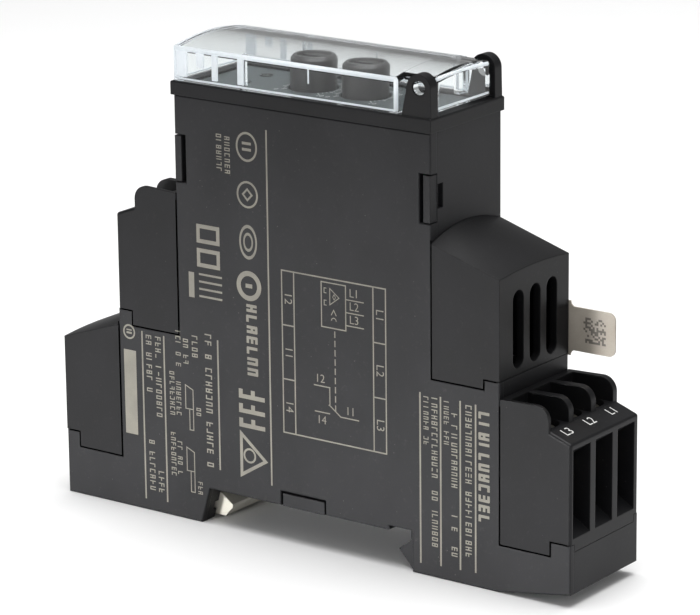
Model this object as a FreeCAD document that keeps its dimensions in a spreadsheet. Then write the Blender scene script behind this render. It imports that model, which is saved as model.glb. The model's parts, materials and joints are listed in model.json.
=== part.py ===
import FreeCAD, Part
import math
import os

import Sketcher

# Modular monitoring relay for a 35 mm top-hat rail, in millimetres.
# X runs along the 90 mm length (terminals of the supply at +X, of the contacts at -X),
# Y across the 17.5 mm width (side cover at -Y), Z up from the feet to the clear cover.
# The origin is the middle of the foot face.

Vector = FreeCAD.Vector
Rotation = FreeCAD.Rotation
doc = FreeCAD.newDocument("MonitoringRelay")
sheet = doc.addObject("Spreadsheet::Sheet", "dims")


# ---------------------------------------------------------------- sizes and their expressions

class Size:
    """A length that carries its number and the spreadsheet expression that gives it."""

    def __init__(self, number, text):
        self.number = number
        self.text = text

    def __add__(self, other):
        other = as_size(other)
        return Size(self.number + other.number, f"({self.text} + {other.text})")

    def __sub__(self, other):
        other = as_size(other)
        return Size(self.number - other.number, f"({self.text} - {other.text})")

    def __mul__(self, factor):
        factor = as_size(factor)
        return Size(self.number * factor.number, f"({self.text} * {factor.text})")

    def __truediv__(self, factor):
        factor = as_size(factor)
        return Size(self.number / factor.number, f"({self.text} / {factor.text})")

    def __radd__(self, other):
        return as_size(other) + self

    def __rsub__(self, other):
        return as_size(other) - self

    def __rmul__(self, other):
        return as_size(other) * self

    def __neg__(self):
        return as_size(0) - self


def as_size(value):
    return value if isinstance(value, Size) else Size(float(value), f"({float(value):.6f})")


cell_count = 0


def cell(alias, number):
    """Writes one driving dimension into the sheet and returns it as a Size."""
    global cell_count
    cell_count += 1
    sheet.set(f"A{cell_count}", alias)
    sheet.set(f"B{cell_count}", str(number))
    sheet.setAlias(f"B{cell_count}", alias)
    return Size(float(number), f"dims.{alias}")


# Overall sizes
body_length = cell("body_length", 90.0)
body_width = cell("body_width", 17.5)
tower_left = cell("tower_left", 22.95)
tower_right = cell("tower_right", 21.87)
tower_top = cell("tower_top", 64.2)
shoulder_left = cell("shoulder_left", 34.3)
shoulder_right = cell("shoulder_right", 33.28)

# Walls and gaps
wall = cell("wall", 1.2)
cover_skin = cell("cover_skin", 1.0)
cover_lip = cell("cover_lip", 0.65)
seam = cell("seam", 0.06)
slide_gap = cell("slide_gap", 0.15)
turn_gap = cell("turn_gap", 0.07)
edge_round = cell("edge_round", 0.25)
corner_round = cell("corner_round", 0.45)

# Rail interface
rail_width = cell("rail_width", 35.0)
rail_thickness = cell("rail_thickness", 1.0)
rail_play = cell("rail_play", 0.1)
rail_seat = cell("rail_seat", 5.48)
rail_relief = cell("rail_relief", 0.66)
hook_reach = cell("hook_reach", 2.1)
hook_nose = cell("hook_nose", 2.71)
floor_thickness = cell("floor_thickness", 2.8)
foot_bevel_start = cell("foot_bevel_start", 33.07)
foot_bevel_rise = cell("foot_bevel_rise", 1.95)

# Ledges that carry the four inserts
low_ledge = cell("low_ledge", 7.0)
low_sill = cell("low_sill", 9.15)
sill_length = cell("sill_length", 3.3)
end_sill_drop = cell("end_sill_drop", 1.1)
blank_ledge = cell("blank_ledge", 7.5)
blank_sill = cell("blank_sill", 9.9)
high_ledge_right = cell("high_ledge_right", 29.15)
high_sill_right = cell("high_sill_right", 30.6)
high_ledge_left = cell("high_ledge_left", 28.2)
high_sill_left = cell("high_sill_left", 30.5)
high_sill_length = cell("high_sill_length", 2.6)

# Terminals
terminal_pitch = cell("terminal_pitch", 5.7)
terminal_shift = cell("terminal_shift", -0.25)
entry_width = cell("entry_width", 4.4)
entry_bottom = cell("entry_bottom", 0.55)
entry_top = cell("entry_top", 14.1)
entry_depth = cell("entry_depth", 3.9)
throat_rise = cell("throat_rise", 2.75)
chamber_depth = cell("chamber_depth", 9.4)
block_front = cell("block_front", 14.55)
label_depth = cell("label_depth", 3.6)
label_rise = cell("label_rise", 1.3)
hump_height = cell("hump_height", 19.4)
hump_round = cell("hump_round", 2.1)
screw_setback = cell("screw_setback", 6.6)
screw_head_radius = cell("screw_head_radius", 1.95)
screw_head_height = cell("screw_head_height", 1.8)
screw_radius = cell("screw_radius", 1.25)
screw_slot = cell("screw_slot", 0.6)
cage_width = cell("cage_width", 4.0)
cage_length = cell("cage_length", 4.8)
cage_wall = cell("cage_wall", 0.8)
cage_collar = cell("cage_collar", 1.5)
cage_travel = cell("cage_travel", 2.0)
wire_space = cell("wire_space", 4.1)
bar_thickness = cell("bar_thickness", 0.9)
bar_width = cell("bar_width", 2.2)
bar_height = cell("bar_height", 7.35)
ledge_thickness = cell("ledge_thickness", 1.0)
tail_step = cell("tail_step", 3.0)
tail_width = cell("tail_width", 1.6)

# Blank inserts and their vents
blank_side_outer = cell("blank_side_outer", 14.6)
blank_side_inner = cell("blank_side_inner", 18.1)
blank_crown_outer = cell("blank_crown_outer", 0.5)
blank_crown_inner = cell("blank_crown_inner", 1.7)
vent_pitch = cell("vent_pitch", 4.2)
vent_width = cell("vent_width", 2.75)
vent_bottom = cell("vent_bottom", 1.0)
vent_top = cell("vent_top", 12.2)

# Front end
bezel_height = cell("bezel_height", 2.1)
bezel_overhang = cell("bezel_overhang", 0.3)
skirt_depth = cell("skirt_depth", 1.7)
panel_thickness = cell("panel_thickness", 1.2)
panel_drop = cell("panel_drop", 0.3)
ear_thickness = cell("ear_thickness", 1.75)
ear_radius = cell("ear_radius", 1.96)
ear_foot = cell("ear_foot", 2.97)
hinge_x = cell("hinge_x", 19.97)
hinge_rise = cell("hinge_rise", 4.09)
pin_radius = cell("pin_radius", 0.98)
glass_height = cell("glass_height", 5.0)
glass_arch = cell("glass_arch", 1.0)
glass_wall = cell("glass_wall", 0.95)
glass_end = cell("glass_end", 21.6)
glass_shoulder = cell("glass_shoulder", 16.3)
knob_left_x = cell("knob_left_x", -4.1)
knob_right_x = cell("knob_right_x", 5.0)
knob_radius = cell("knob_radius", 3.35)
knob_rise = cell("knob_rise", 6.1)
knob_stem = cell("knob_stem", 1.4)
light_x = cell("light_x", -14.5)
light_pitch = cell("light_pitch", 5.2)
light_radius = cell("light_radius", 0.95)

# Boards and what they carry
board_thickness = cell("board_thickness", 1.6)
board_gap = cell("board_gap", 0.3)
front_board_drop = cell("front_board_drop", 7.0)
lead_radius = cell("lead_radius", 0.3)
lead_hole = cell("lead_hole", 0.45)
part_stand = cell("part_stand", 0.1)

# Rail clip
clip_half_width = cell("clip_half_width", 5.6)
clip_tongue = cell("clip_tongue", 0.75)
clip_bottom = cell("clip_bottom", 0.4)
clip_thickness = cell("clip_thickness", 3.6)
clip_nose_reach = cell("clip_nose_reach", 1.4)
spring_length = cell("spring_length", 7.0)
spring_coil_radius = cell("spring_coil_radius", 1.0)
spring_wire_radius = cell("spring_wire_radius", 0.17)
spring_turns = cell("spring_turns", 7)

# Side tag
tag_thickness = cell("tag_thickness", 0.25)
tag_reach = cell("tag_reach", 41.0)
tag_bottom = cell("tag_bottom", 31.1)
tag_height = cell("tag_height", 6.4)
tag_flare = cell("tag_flare", 0.8)
tag_corner = cell("tag_corner", 1.1)

# Places that several pieces share
front_board_z = tower_top - front_board_drop
knob_top = tower_top + knob_rise
half_length = body_length / 2
half_width = body_width / 2
cover_split = -half_width + cover_skin
far_wall_face = half_width - wall
board_back = far_wall_face - board_gap
board_face = board_back - board_thickness
rail_half = rail_width / 2
rail_wall = rail_half + rail_play
floor_top = rail_seat + floor_thickness
sill_x = half_length - sill_length
high_sill_x_right = shoulder_right - high_sill_length
high_sill_x_left = shoulder_left - high_sill_length
bezel_top = tower_top + bezel_height
panel_top = bezel_top - panel_drop
hinge_z = bezel_top + hinge_rise
terminal_centres = [terminal_shift + terminal_pitch * step for step in (-1, 0, 1)]
doc.recompute()

nodes = []


# ---------------------------------------------------------------- building tools

def place(thing, x=0, y=0, z=0):
    """Binds a primitive's position to the sheet."""
    for axis, size in (("x", x), ("y", y), ("z", z)):
        thing.setExpression(f"Placement.Base.{axis}", as_size(size).text)
    return thing


def box(name, x, y, z):
    """A block between two places on each axis."""
    block = doc.addObject("Part::Box", name)
    for side, (low, high) in (("Length", x), ("Width", y), ("Height", z)):
        block.setExpression(side, (as_size(high) - low).text)
    return place(block, x[0], y[0], z[0])


AXIS_TURN = {
    "X": Rotation(Vector(0, 1, 0), 90),
    "Y": Rotation(Vector(1, 0, 0), -90),
    "Z": Rotation(),
}


def rod(name, axis, radius, start, length, x=0, y=0, z=0):
    """A round bar along an axis, from start, through the other two coordinates."""
    bar = doc.addObject("Part::Cylinder", name)
    bar.setExpression("Radius", as_size(radius).text)
    bar.setExpression("Height", as_size(length).text)
    bar.Placement = FreeCAD.Placement(Vector(), AXIS_TURN[axis])
    where = {"X": x, "Y": y, "Z": z}
    where[axis] = start
    return place(bar, where["X"], where["Y"], where["Z"])


def fuse(name, pieces):
    union = doc.addObject("Part::MultiFuse", name)
    union.Shapes = pieces
    return union


def cut(name, base, tool):
    rest = doc.addObject("Part::Cut", name)
    rest.Base = base
    rest.Tool = tool
    return rest


def node(thing, label):
    """Marks an object as one of the pieces of the relay."""
    thing.Label = label
    nodes.append(thing)
    return thing


def body(label):
    return node(doc.addObject("PartDesign::Body", label), label)


def corner_arc(start, end, radius):
    """Arc that bulges to the right of the way from start to end, as a counter-clockwise circle arc."""
    chord = end - start
    half = chord.Length / 2
    left = Vector(-chord.y, chord.x, 0).normalize()
    centre = start + chord / 2 + left * math.sqrt(max(radius * radius - half * half, 0))
    angle = [math.atan2(p.y - centre.y, p.x - centre.x) for p in (start, end)]
    return Part.ArcOfCircle(Part.Circle(centre, Vector(0, 0, 1), radius), angle[0], angle[1])


def pin_point(sketch, geometry, point, place_2d):
    """Fixes one sketch point at two sheet-driven coordinates."""
    for kind, axis_id, size in (("DistanceX", -2, place_2d[0]), ("DistanceY", -1, place_2d[1])):
        size = as_size(size)
        if abs(size.number) < 1e-9:
            sketch.addConstraint(Sketcher.Constraint("PointOnObject", geometry, point, axis_id))
            continue
        index = sketch.addConstraint(
            Sketcher.Constraint(kind, -1, 1, geometry, point, size.number))
        sketch.setExpression(f"Constraints[{index}]", size.text)


def draw_outline(sketch, corners):
    """Closed outline through corners (a, b); a third value is the radius of the arc to the next one."""
    spots = [Vector(as_size(c[0]).number, as_size(c[1]).number, 0) for c in corners]
    ids = []
    for index, corner in enumerate(corners):
        start, end = spots[index], spots[(index + 1) % len(spots)]
        if len(corner) == 3:
            edge = corner_arc(start, end, as_size(corner[2]).number)
        else:
            edge = Part.LineSegment(start, end)
        ids.append(sketch.addGeometry(edge))
    for index, corner in enumerate(corners):
        following = ids[(index + 1) % len(ids)]
        sketch.addConstraint(Sketcher.Constraint("Coincident", ids[index], 2, following, 1))
        pin_point(sketch, ids[index], 1, corner)
        if len(corner) == 3:
            limit = sketch.addConstraint(
                Sketcher.Constraint("Radius", ids[index], as_size(corner[2]).number))
            sketch.setExpression(f"Constraints[{limit}]", as_size(corner[2]).text)


def draw_circle(sketch, centre_a, centre_b, radius):
    spot = Vector(as_size(centre_a).number, as_size(centre_b).number, 0)
    index = sketch.addGeometry(Part.Circle(spot, Vector(0, 0, 1), as_size(radius).number))
    pin_point(sketch, index, 3, (centre_a, centre_b))
    limit = sketch.addConstraint(Sketcher.Constraint("Radius", index, as_size(radius).number))
    sketch.setExpression(f"Constraints[{limit}]", as_size(radius).text)


def sketch_on(owner, plane, level, outlines=(), circles=()):
    """Sketch on an origin plane (XY, XZ or YZ) moved to a level along its axis."""
    sketch = owner.newObject("Sketcher::SketchObject", f"{owner.Label}_sketch")
    datum = [f for f in owner.Origin.OriginFeatures if f.Role == f"{plane}_Plane"][0]
    sketch.AttachmentSupport = [(datum, "")]
    sketch.MapMode = "FlatFace"
    level = as_size(level)
    offset = -level if plane == "XZ" else level
    sketch.setExpression("AttachmentOffset.Base.z", offset.text)
    for outline in outlines:
        draw_outline(sketch, outline)
    for circle in circles:
        draw_circle(sketch, *circle)
    sketch.Visibility = False
    return sketch


def pad(owner, plane, low, high, outlines=(), circles=()):
    """Adds material between two levels along the plane's axis."""
    level = high if plane == "XZ" else low
    profile = sketch_on(owner, plane, level, outlines, circles)
    feature = owner.newObject("PartDesign::Pad", f"{owner.Label}_pad")
    feature.Profile = profile
    feature.setExpression("Length", (as_size(high) - low).text)
    return feature


def pocket(owner, plane, low, high, outlines=(), circles=()):
    """Removes material between two levels along the plane's axis."""
    doc.recompute()
    before = owner.Shape.Volume
    level = low if plane == "XZ" else high
    profile = sketch_on(owner, plane, level, outlines, circles)
    feature = owner.newObject("PartDesign::Pocket", f"{owner.Label}_pocket")
    feature.Profile = profile
    feature.setExpression("Length", (as_size(high) - low).text)
    doc.recompute()
    if owner.Shape.Volume > before - 1e-4:
        raise RuntimeError(f"a pocket in {owner.Label} removed nothing")
    return feature


def rectangle(a, b):
    """Outline of a rectangle between two values on each sketch axis."""
    return [(a[0], b[0]), (a[1], b[0]), (a[1], b[1]), (a[0], b[1])]


def round_edges(owner, radius, chosen, kind="Fillet"):
    """Rounds or bevels the edges of the body's last feature for which chosen(edge) is true."""
    doc.recompute()
    base = owner.Tip
    names = [f"Edge{i + 1}" for i, edge in enumerate(base.Shape.Edges) if chosen(edge)]
    if not names:
        raise RuntimeError(f"no edge of {owner.Label} to round")
    feature = owner.newObject(f"PartDesign::{kind}", f"{owner.Label}_{kind.lower()}")
    feature.Base = (base, names)
    amount = "Radius" if kind == "Fillet" else "Size"
    feature.setExpression(amount, as_size(radius).text)
    doc.recompute()
    if "Invalid" in feature.State:
        raise RuntimeError(f"rounding {names} of {owner.Label} failed")
    return feature


def edge_on(axis, value, tolerance=1e-3):
    """Tests that an edge lies wholly at one value of an axis."""
    value = as_size(value).number
    low, high = f"{axis}Min", f"{axis}Max"

    def chosen(edge):
        bounds = edge.BoundBox
        near = abs(getattr(bounds, low) - value) < tolerance
        return near and abs(getattr(bounds, high) - value) < tolerance

    return chosen


def upright_edge_at(x, z, tolerance=1e-3):
    """Tests that an edge runs along Y through one point of the XZ plane."""
    on_x = edge_on("X", x, tolerance)
    on_z = edge_on("Z", z, tolerance)
    return lambda edge: on_x(edge) and on_z(edge)


# ---------------------------------------------------------------- housing and side cover

def shell_outline():
    """Side view of the housing: feet and rail notch below, stepped shoulders, front tower."""
    hook_tip = rail_wall - hook_reach
    under_lip = rail_seat - rail_thickness - rail_play
    left_face = rail_half + 0.34
    return [
        (-half_length, 0),
        (-(left_face + 1.63), 0),
        (-left_face, rail_seat),
        (hook_tip - 1.2, rail_seat),
        (hook_tip, rail_seat + rail_relief - 0.12),
        (rail_wall, rail_seat + rail_relief),
        (rail_wall, under_lip),
        (hook_tip, hook_nose),
        (rail_wall + 0.27, 0),
        (foot_bevel_start, 0),
        (half_length, foot_bevel_rise),
        (half_length, low_sill),
        (sill_x, low_sill),
        (sill_x, low_ledge),
        (shoulder_right, low_ledge),
        (shoulder_right, high_sill_right),
        (high_sill_x_right, high_sill_right),
        (high_sill_x_right, high_ledge_right),
        (tower_right, high_ledge_right),
        (tower_right, tower_top),
        (-tower_left, tower_top),
        (-tower_left, high_ledge_left),
        (-high_sill_x_left, high_ledge_left),
        (-high_sill_x_left, high_sill_left),
        (-shoulder_left, high_sill_left),
        (-shoulder_left, blank_ledge),
        (-half_length + sill_length - 0.8, blank_ledge),
        (-half_length + sill_length - 0.8, blank_sill),
        (-half_length, blank_sill),
    ]


snap_bottom = cell("snap_bottom", 51.4)
snap_height = cell("snap_height", 7.0)
snap_width = cell("snap_width", 1.9)
snap_gap = cell("snap_gap", 0.7)
foot_snap_left = cell("foot_snap_left", -4.75)
foot_snap_right = cell("foot_snap_right", 3.25)
foot_snap_height = cell("foot_snap_height", 2.2)
foot_snap_gap = cell("foot_snap_gap", 0.4)
hook_setback = cell("hook_setback", 0.85)
doc.recompute()

lip_right = (tower_right - wall, tower_right)
lip_left = (-tower_left, -tower_left + wall)


def build_side_cover():
    cover = body("side_cover")
    pad(cover, "XZ", -half_width, cover_split, [shell_outline()])
    pad(cover, "XZ", cover_split, cover_split + cover_lip, [
        rectangle(lip_right, (high_ledge_right, tower_top)),
        rectangle(lip_left, (high_ledge_left, tower_top)),
    ])
    snaps = (snap_bottom, snap_bottom + snap_height)
    pocket(cover, "XZ", -half_width, cover_split + cover_lip, [
        rectangle((tower_right - snap_width, tower_right + 1), snaps),
        rectangle((-tower_left - 1, -tower_left + snap_width), snaps),
        rectangle((foot_snap_left, foot_snap_right), (rail_seat - 1, rail_seat + foot_snap_height)),
        rectangle((rail_wall - hook_reach - 1, rail_wall + hook_setback), (-1, rail_seat + rail_relief)),
    ])
    round_edges(cover, edge_round, edge_on("Y", -half_width))


def build_main_housing():
    housing = body("main_housing")
    pad(housing, "XZ", cover_split, half_width, [shell_outline()])
    pocket(housing, "XZ", cover_split, cover_split + cover_lip, [
        rectangle((lip_right[0] - seam, lip_right[1] + 1), (high_ledge_right, tower_top + 1)),
        rectangle((lip_left[0] - 1, lip_left[1] + seam), (high_ledge_left, tower_top + 1)),
    ])
    cavity = [
        (-shoulder_left + wall, floor_top),
        (shoulder_right - wall, floor_top),
        (shoulder_right - wall, high_ledge_right - wall),
        (tower_right - wall, high_ledge_right - wall),
        (tower_right - wall, tower_top + 1),
        (-tower_left + wall, tower_top + 1),
        (-tower_left + wall, high_ledge_left - wall),
        (-shoulder_left + wall, high_ledge_left - wall),
    ]
    pocket(housing, "XZ", cover_split, far_wall_face, [cavity])
    # Tongues that fill the cover's snap windows
    tongue = (snap_bottom + slide_gap, snap_bottom + snap_height - slide_gap)
    pad(housing, "XZ", -half_width, cover_split + cover_lip + wall, [
        rectangle((tower_right - snap_width + snap_gap, tower_right - seam), tongue),
        rectangle((-tower_left + seam, -tower_left + snap_width - snap_gap), tongue),
    ])
    pad(housing, "XZ", -half_width, cover_split, [
        rectangle((foot_snap_left + foot_snap_gap, foot_snap_right - slide_gap),
                  (rail_seat, rail_seat + foot_snap_height - foot_snap_gap / 1.5)),
    ])
    # The end wall between the two side walls is lower than they are
    pocket(housing, "YZ", sill_x, half_length + 1, [
        rectangle((cover_split - 1, half_width - wall + 0.1), (low_sill - end_sill_drop, low_sill + 1))])
    # Windows for the contact bars
    pocket(housing, "YZ", shoulder_right - wall - 1, shoulder_right + 1, [
        rectangle((cover_split + 0.55, far_wall_face - 0.8),
                  (low_sill + bar_height - 1, low_sill + bar_height + bar_thickness + 1))])
    pocket(housing, "YZ", -tower_left - 1, -tower_left + wall + 1, [
        rectangle((cover_split + 0.55, far_wall_face - 0.8),
                  (high_sill_left + bar_height - 1, high_sill_left + bar_height + bar_thickness + 1))])
    # Narrow test slot in the tower's end
    pocket(housing, "YZ", tower_right - wall - 0.5, tower_right + 1, [
        rectangle((cover_split + cover_lip + 0.02, cover_split + cover_lip + 1.4),
                  (snap_bottom + 1.9, snap_bottom + 5.4))])
    # Channel and side grooves of the rail clip, and the post that its spring bears on
    clip_side = clip_half_width + slide_gap
    channel_top = clip_bottom + clip_thickness + slide_gap
    pocket(housing, "YZ", -half_length - 1, -rail_half + 1, [
        rectangle((-clip_side, clip_side), (-1, channel_top))])
    groove_low, groove_high = clip_groove()
    pocket(housing, "YZ", -half_length - 1, -rail_half + 1, [
        rectangle((-clip_side - clip_tongue, clip_side + clip_tongue),
                  (groove_low - slide_gap, groove_high + slide_gap))])
    post_left, post_right = spring_post()
    pad(housing, "XY", clip_bottom + 0.6, channel_top + 0.2, [
        rectangle((post_left, post_right), (-1.4, 1.4))])
    round_edges(housing, edge_round, edge_on("Y", half_width))


def clip_groove():
    return clip_bottom + 1.2, clip_bottom + 2.2


def spring_post():
    right = -rail_half - 10.5
    return right - 1.5, right


# ---------------------------------------------------------------- terminals

def terminal_block(label, side, outer, inner, ledge, sill, sill_inset, end_drop):
    """Insert with three wire entries; side is +1 when the entries face +X."""
    block = body(label)

    def x_at(depth):
        return outer - depth * side

    back = inner + seam * side
    top = sill + hump_height
    front = sill + block_front
    label_top = front + label_rise
    outline = [
        (back, ledge + seam),
        (x_at(sill_inset) - seam * side, ledge + seam),
        (x_at(sill_inset) - seam * side, sill + seam),
        (outer, sill + seam),
        (outer, front),
        (x_at(label_depth), label_top),
        (x_at(label_depth), top),
        (back, top - 0.3),
    ]
    if side < 0:
        outline.reverse()
    pad(block, "XZ", -half_width, half_width, [outline])
    round_edges(block, hump_round, upright_edge_at(x_at(label_depth), top))
    round_edges(block, corner_round, upright_edge_at(outer, front))
    at_end = edge_on("X", outer)
    round_edges(block, corner_round, lambda edge: at_end(edge) and edge.BoundBox.ZLength > 2)
    if end_drop is not None:
        pad(block, "YZ", x_at(sill_inset) + 0.1, outer, [
            rectangle((cover_split + seam, half_width - wall),
                      (sill - end_drop + seam, sill + wall))])
    throat_low = sill + entry_bottom + throat_rise
    ceiling = sill + bar_height + bar_thickness + cage_travel + cage_collar + 0.7
    chamber_floor = cage_bottom(sill) - 0.3
    for centre in terminal_centres:
        funnel = [
            (x_at(-0.5), sill + entry_bottom),
            (x_at(entry_depth), throat_low),
            (x_at(entry_depth), chamber_floor),
            (x_at(chamber_depth), chamber_floor),
            (x_at(chamber_depth), ceiling),
            (x_at(entry_depth), ceiling),
            (x_at(entry_depth), ceiling - 1.5),
            (x_at(-0.5), sill + entry_top),
        ]
        span = (centre - entry_width / 2, centre + entry_width / 2)
        pocket(block, "XZ", span[0], span[1], [funnel])
        # Screw well with a round outer end, shank hole and slot for the contact bar
        well_radius = screw_head_radius + 0.3
        well_x = x_at(screw_setback - 0.3)
        ledge_top = ceiling + ledge_thickness
        pocket(block, "XY", ledge_top, top + 1,
               [rectangle((well_x, x_at(chamber_depth + 1.0)),
                          (centre - well_radius, centre + well_radius))])
        # Above the label slope the well is open to the end, between thin ribs
        pocket(block, "XY", label_top + 0.05, top + 1,
               [rectangle((well_x, x_at(label_depth - 1)),
                          (centre - well_radius, centre + well_radius))])
        pocket(block, "XY", ledge_top, top + 1, circles=[(well_x, centre, well_radius)])
        pocket(block, "XY", ceiling - 0.5, ledge_top + 0.5,
               circles=[(x_at(screw_setback), centre, screw_radius + 0.3)])
        low, high = sorted([x_at(chamber_depth - 0.5), inner - 0.5 * side],
                           key=lambda size: as_size(size).number)
        pocket(block, "YZ", low, high, [
            rectangle((centre - bar_width / 2 - slide_gap, centre + bar_width / 2 + slide_gap),
                      (sill + bar_height - slide_gap,
                       sill + bar_height + bar_thickness + slide_gap))])
    return block


def cage_bottom(sill):
    return sill + bar_height - wire_space - cage_wall


def clamp_screw(label, x, y, sill):
    """Captive terminal screw: slotted round head, plain-cylinder shank standing on the bar."""
    ceiling = sill + bar_height + bar_thickness + cage_travel + cage_collar + 0.7
    seat = ceiling + ledge_thickness + 0.05
    tip = sill + bar_height + bar_thickness + 0.1
    screw = body(label)
    pad(screw, "XY", seat, seat + screw_head_height, circles=[(x, y, screw_head_radius)])
    round_edges(screw, 0.25, edge_on("Z", seat + screw_head_height))
    pad(screw, "XY", tip, seat + 0.2, circles=[(x, y, screw_radius)])
    reach = screw_head_radius + 0.2
    depth = screw_head_height * 0.55
    pocket(screw, "XY", seat + screw_head_height - depth, seat + screw_head_height + 0.5,
           [rectangle((x - reach, x + reach), (y - screw_slot / 2, y + screw_slot / 2))])
    pocket(screw, "XY", seat + screw_head_height - depth, seat + screw_head_height + 0.5,
           [rectangle((x - screw_slot / 2, x + screw_slot / 2),
                      (y - reach * 0.55, y + reach * 0.55))])


def clamp_cage(label, x, y, sill):
    """Rising cage: a square tube open along X with a threaded collar on top."""
    low = cage_bottom(sill)
    under_collar = sill + bar_height + bar_thickness + 0.5
    cage = body(label)
    x_span = (x - cage_length / 2, x + cage_length / 2)
    pad(cage, "YZ", x_span[0], x_span[1],
        [rectangle((y - cage_width / 2, y + cage_width / 2), (low, under_collar + cage_collar))])
    pocket(cage, "YZ", x_span[0] - 1, x_span[1] + 1,
           [rectangle((y - cage_width / 2 + 0.55, y + cage_width / 2 - 0.55),
                      (low + cage_wall, under_collar))])
    pocket(cage, "XY", under_collar - 0.5, under_collar + cage_collar + 1,
           circles=[(x, y, screw_radius + turn_gap)])
    round_edges(cage, 0.3, lambda edge: edge_on("Z", low)(edge) and edge.BoundBox.XLength > 1)


bar_leads = []


def contact_bar(label, side, outer, inner, y, sill, tail_x):
    """Bar from the clamp to the board: wide in the clamp, half as wide behind the wall, then a
    tail that turns along Y and ends in a solder lead."""
    low = sill + bar_height
    tip = outer - (screw_setback - 2.1) * side
    neck = inner - wall * side
    z_span = (low, low + bar_thickness)
    wide_span = (neck, tip) if side > 0 else (tip, neck)
    wide = box(f"{label}_wide", wide_span, (y - bar_width / 2, y + bar_width / 2), z_span)
    strip_span = (tail_x, neck) if side > 0 else (neck, tail_x)
    strip = box(f"{label}_strip", strip_span, (y - bar_width / 2, y), z_span)
    tail_span = (tail_x, tail_x + tail_width) if side > 0 else (tail_x - tail_width, tail_x)
    tail = box(f"{label}_tail", tail_span, (y - bar_width / 2, board_face - part_stand), z_span)
    lead_x = (tail_span[0] + tail_span[1]) / 2
    lead_z = low + bar_thickness / 2
    bar_leads.append((lead_x, lead_z))
    lead = rod(f"{label}_lead", "Y", lead_radius, board_face - part_stand - 0.2,
               board_thickness + part_stand + 0.3, x=lead_x, z=lead_z)
    node(fuse(label, [wide, strip, tail, lead]), label)


def build_terminals():
    terminal_block("terminal_block_supply", 1, half_length, shoulder_right,
                   low_ledge, low_sill, sill_length, end_sill_drop)
    terminal_block("terminal_block_contacts", -1, -shoulder_left, -tower_left,
                   high_ledge_left, high_sill_left, high_sill_length, None)
    groups = [
        ("supply", 1, half_length, shoulder_right, low_sill, shoulder_right - 9.0),
        ("contact", -1, -shoulder_left, -tower_left, high_sill_left, -tower_left + 11.0),
    ]
    for word, side, outer, inner, sill, first_tail in groups:
        for number, y in enumerate(terminal_centres, start=1):
            x = outer - screw_setback * side
            clamp_screw(f"{word}_screw_{number}", x, y, sill)
            clamp_cage(f"{word}_clamp_{number}", x, y, sill)
            tail_x = first_tail + tail_step * (number - 1) * side
            contact_bar(f"{word}_bar_{number}", side, outer, inner, y, sill, tail_x)


# ---------------------------------------------------------------- blank inserts

def blank_insert(label, side, outer, inner, ledge, sill, sill_inset, outer_edge, inner_edge):
    """Hollow vaulted cover in place of terminals, with three vent slots in its end."""
    cover = body(label)
    near_edge = [inner + seam * side, outer]
    sides = [sill + inner_edge, sill + outer_edge]
    arches = [blank_crown_inner, blank_crown_outer]
    sections = []
    for x, z, arch in zip(near_edge, sides, arches):
        radius = (half_width * half_width + arch * arch) / (arch * 2)
        sections.append(sketch_on(cover, "YZ", x, [[
            (-half_width, ledge + seam),
            (half_width, ledge + seam),
            (half_width, z, radius),
            (-half_width, z),
        ]]))
    loft = cover.newObject("PartDesign::AdditiveLoft", f"{label}_loft")
    loft.Profile = sections[0]
    loft.Sections = [sections[1]]
    loft.Ruled = True
    doc.recompute()
    step = sorted([outer - sill_inset * side - seam * side, outer + side],
                  key=lambda size: as_size(size).number)
    pocket(cover, "YZ", step[0], step[1],
           [rectangle((-half_width - 1, half_width + 1), (ledge - 1, sill + seam))])
    hollow = sorted([outer - wall * side, inner - side], key=lambda size: as_size(size).number)
    pocket(cover, "YZ", hollow[0], hollow[1],
           [rectangle((-half_width + wall, half_width - wall), (ledge - 1, sill + outer_edge - wall))])
    through = sorted([outer + side, outer - (wall + 0.5) * side], key=lambda size: as_size(size).number)
    radius = vent_width / 2
    for step_count in (-1, 0, 1):
        y = vent_pitch * step_count + 0.15
        low, high = sill + vent_bottom + radius, sill + vent_top - radius
        pocket(cover, "YZ", through[0], through[1], [rectangle((y - radius, y + radius), (low, high))])
        pocket(cover, "YZ", through[0], through[1], circles=[(y, low, radius), (y, high, radius)])


def build_blank_inserts():
    blank_insert("blank_cover_upper", 1, shoulder_right, tower_right,
                 high_ledge_right, high_sill_right, high_sill_length,
                 blank_side_outer, blank_side_inner)
    blank_insert("blank_cover_lower", -1, -half_length, -shoulder_left,
                 blank_ledge, blank_sill, sill_length - 0.8,
                 blank_side_outer, blank_side_inner)


# ---------------------------------------------------------------- front end

def bezel_span(inset):
    """X and Y ranges of the front frame, drawn in by inset."""
    x = (-tower_left - bezel_overhang + inset, tower_right + bezel_overhang - inset)
    y = (-half_width - bezel_overhang + inset, half_width + bezel_overhang - inset)
    return x, y


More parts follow.
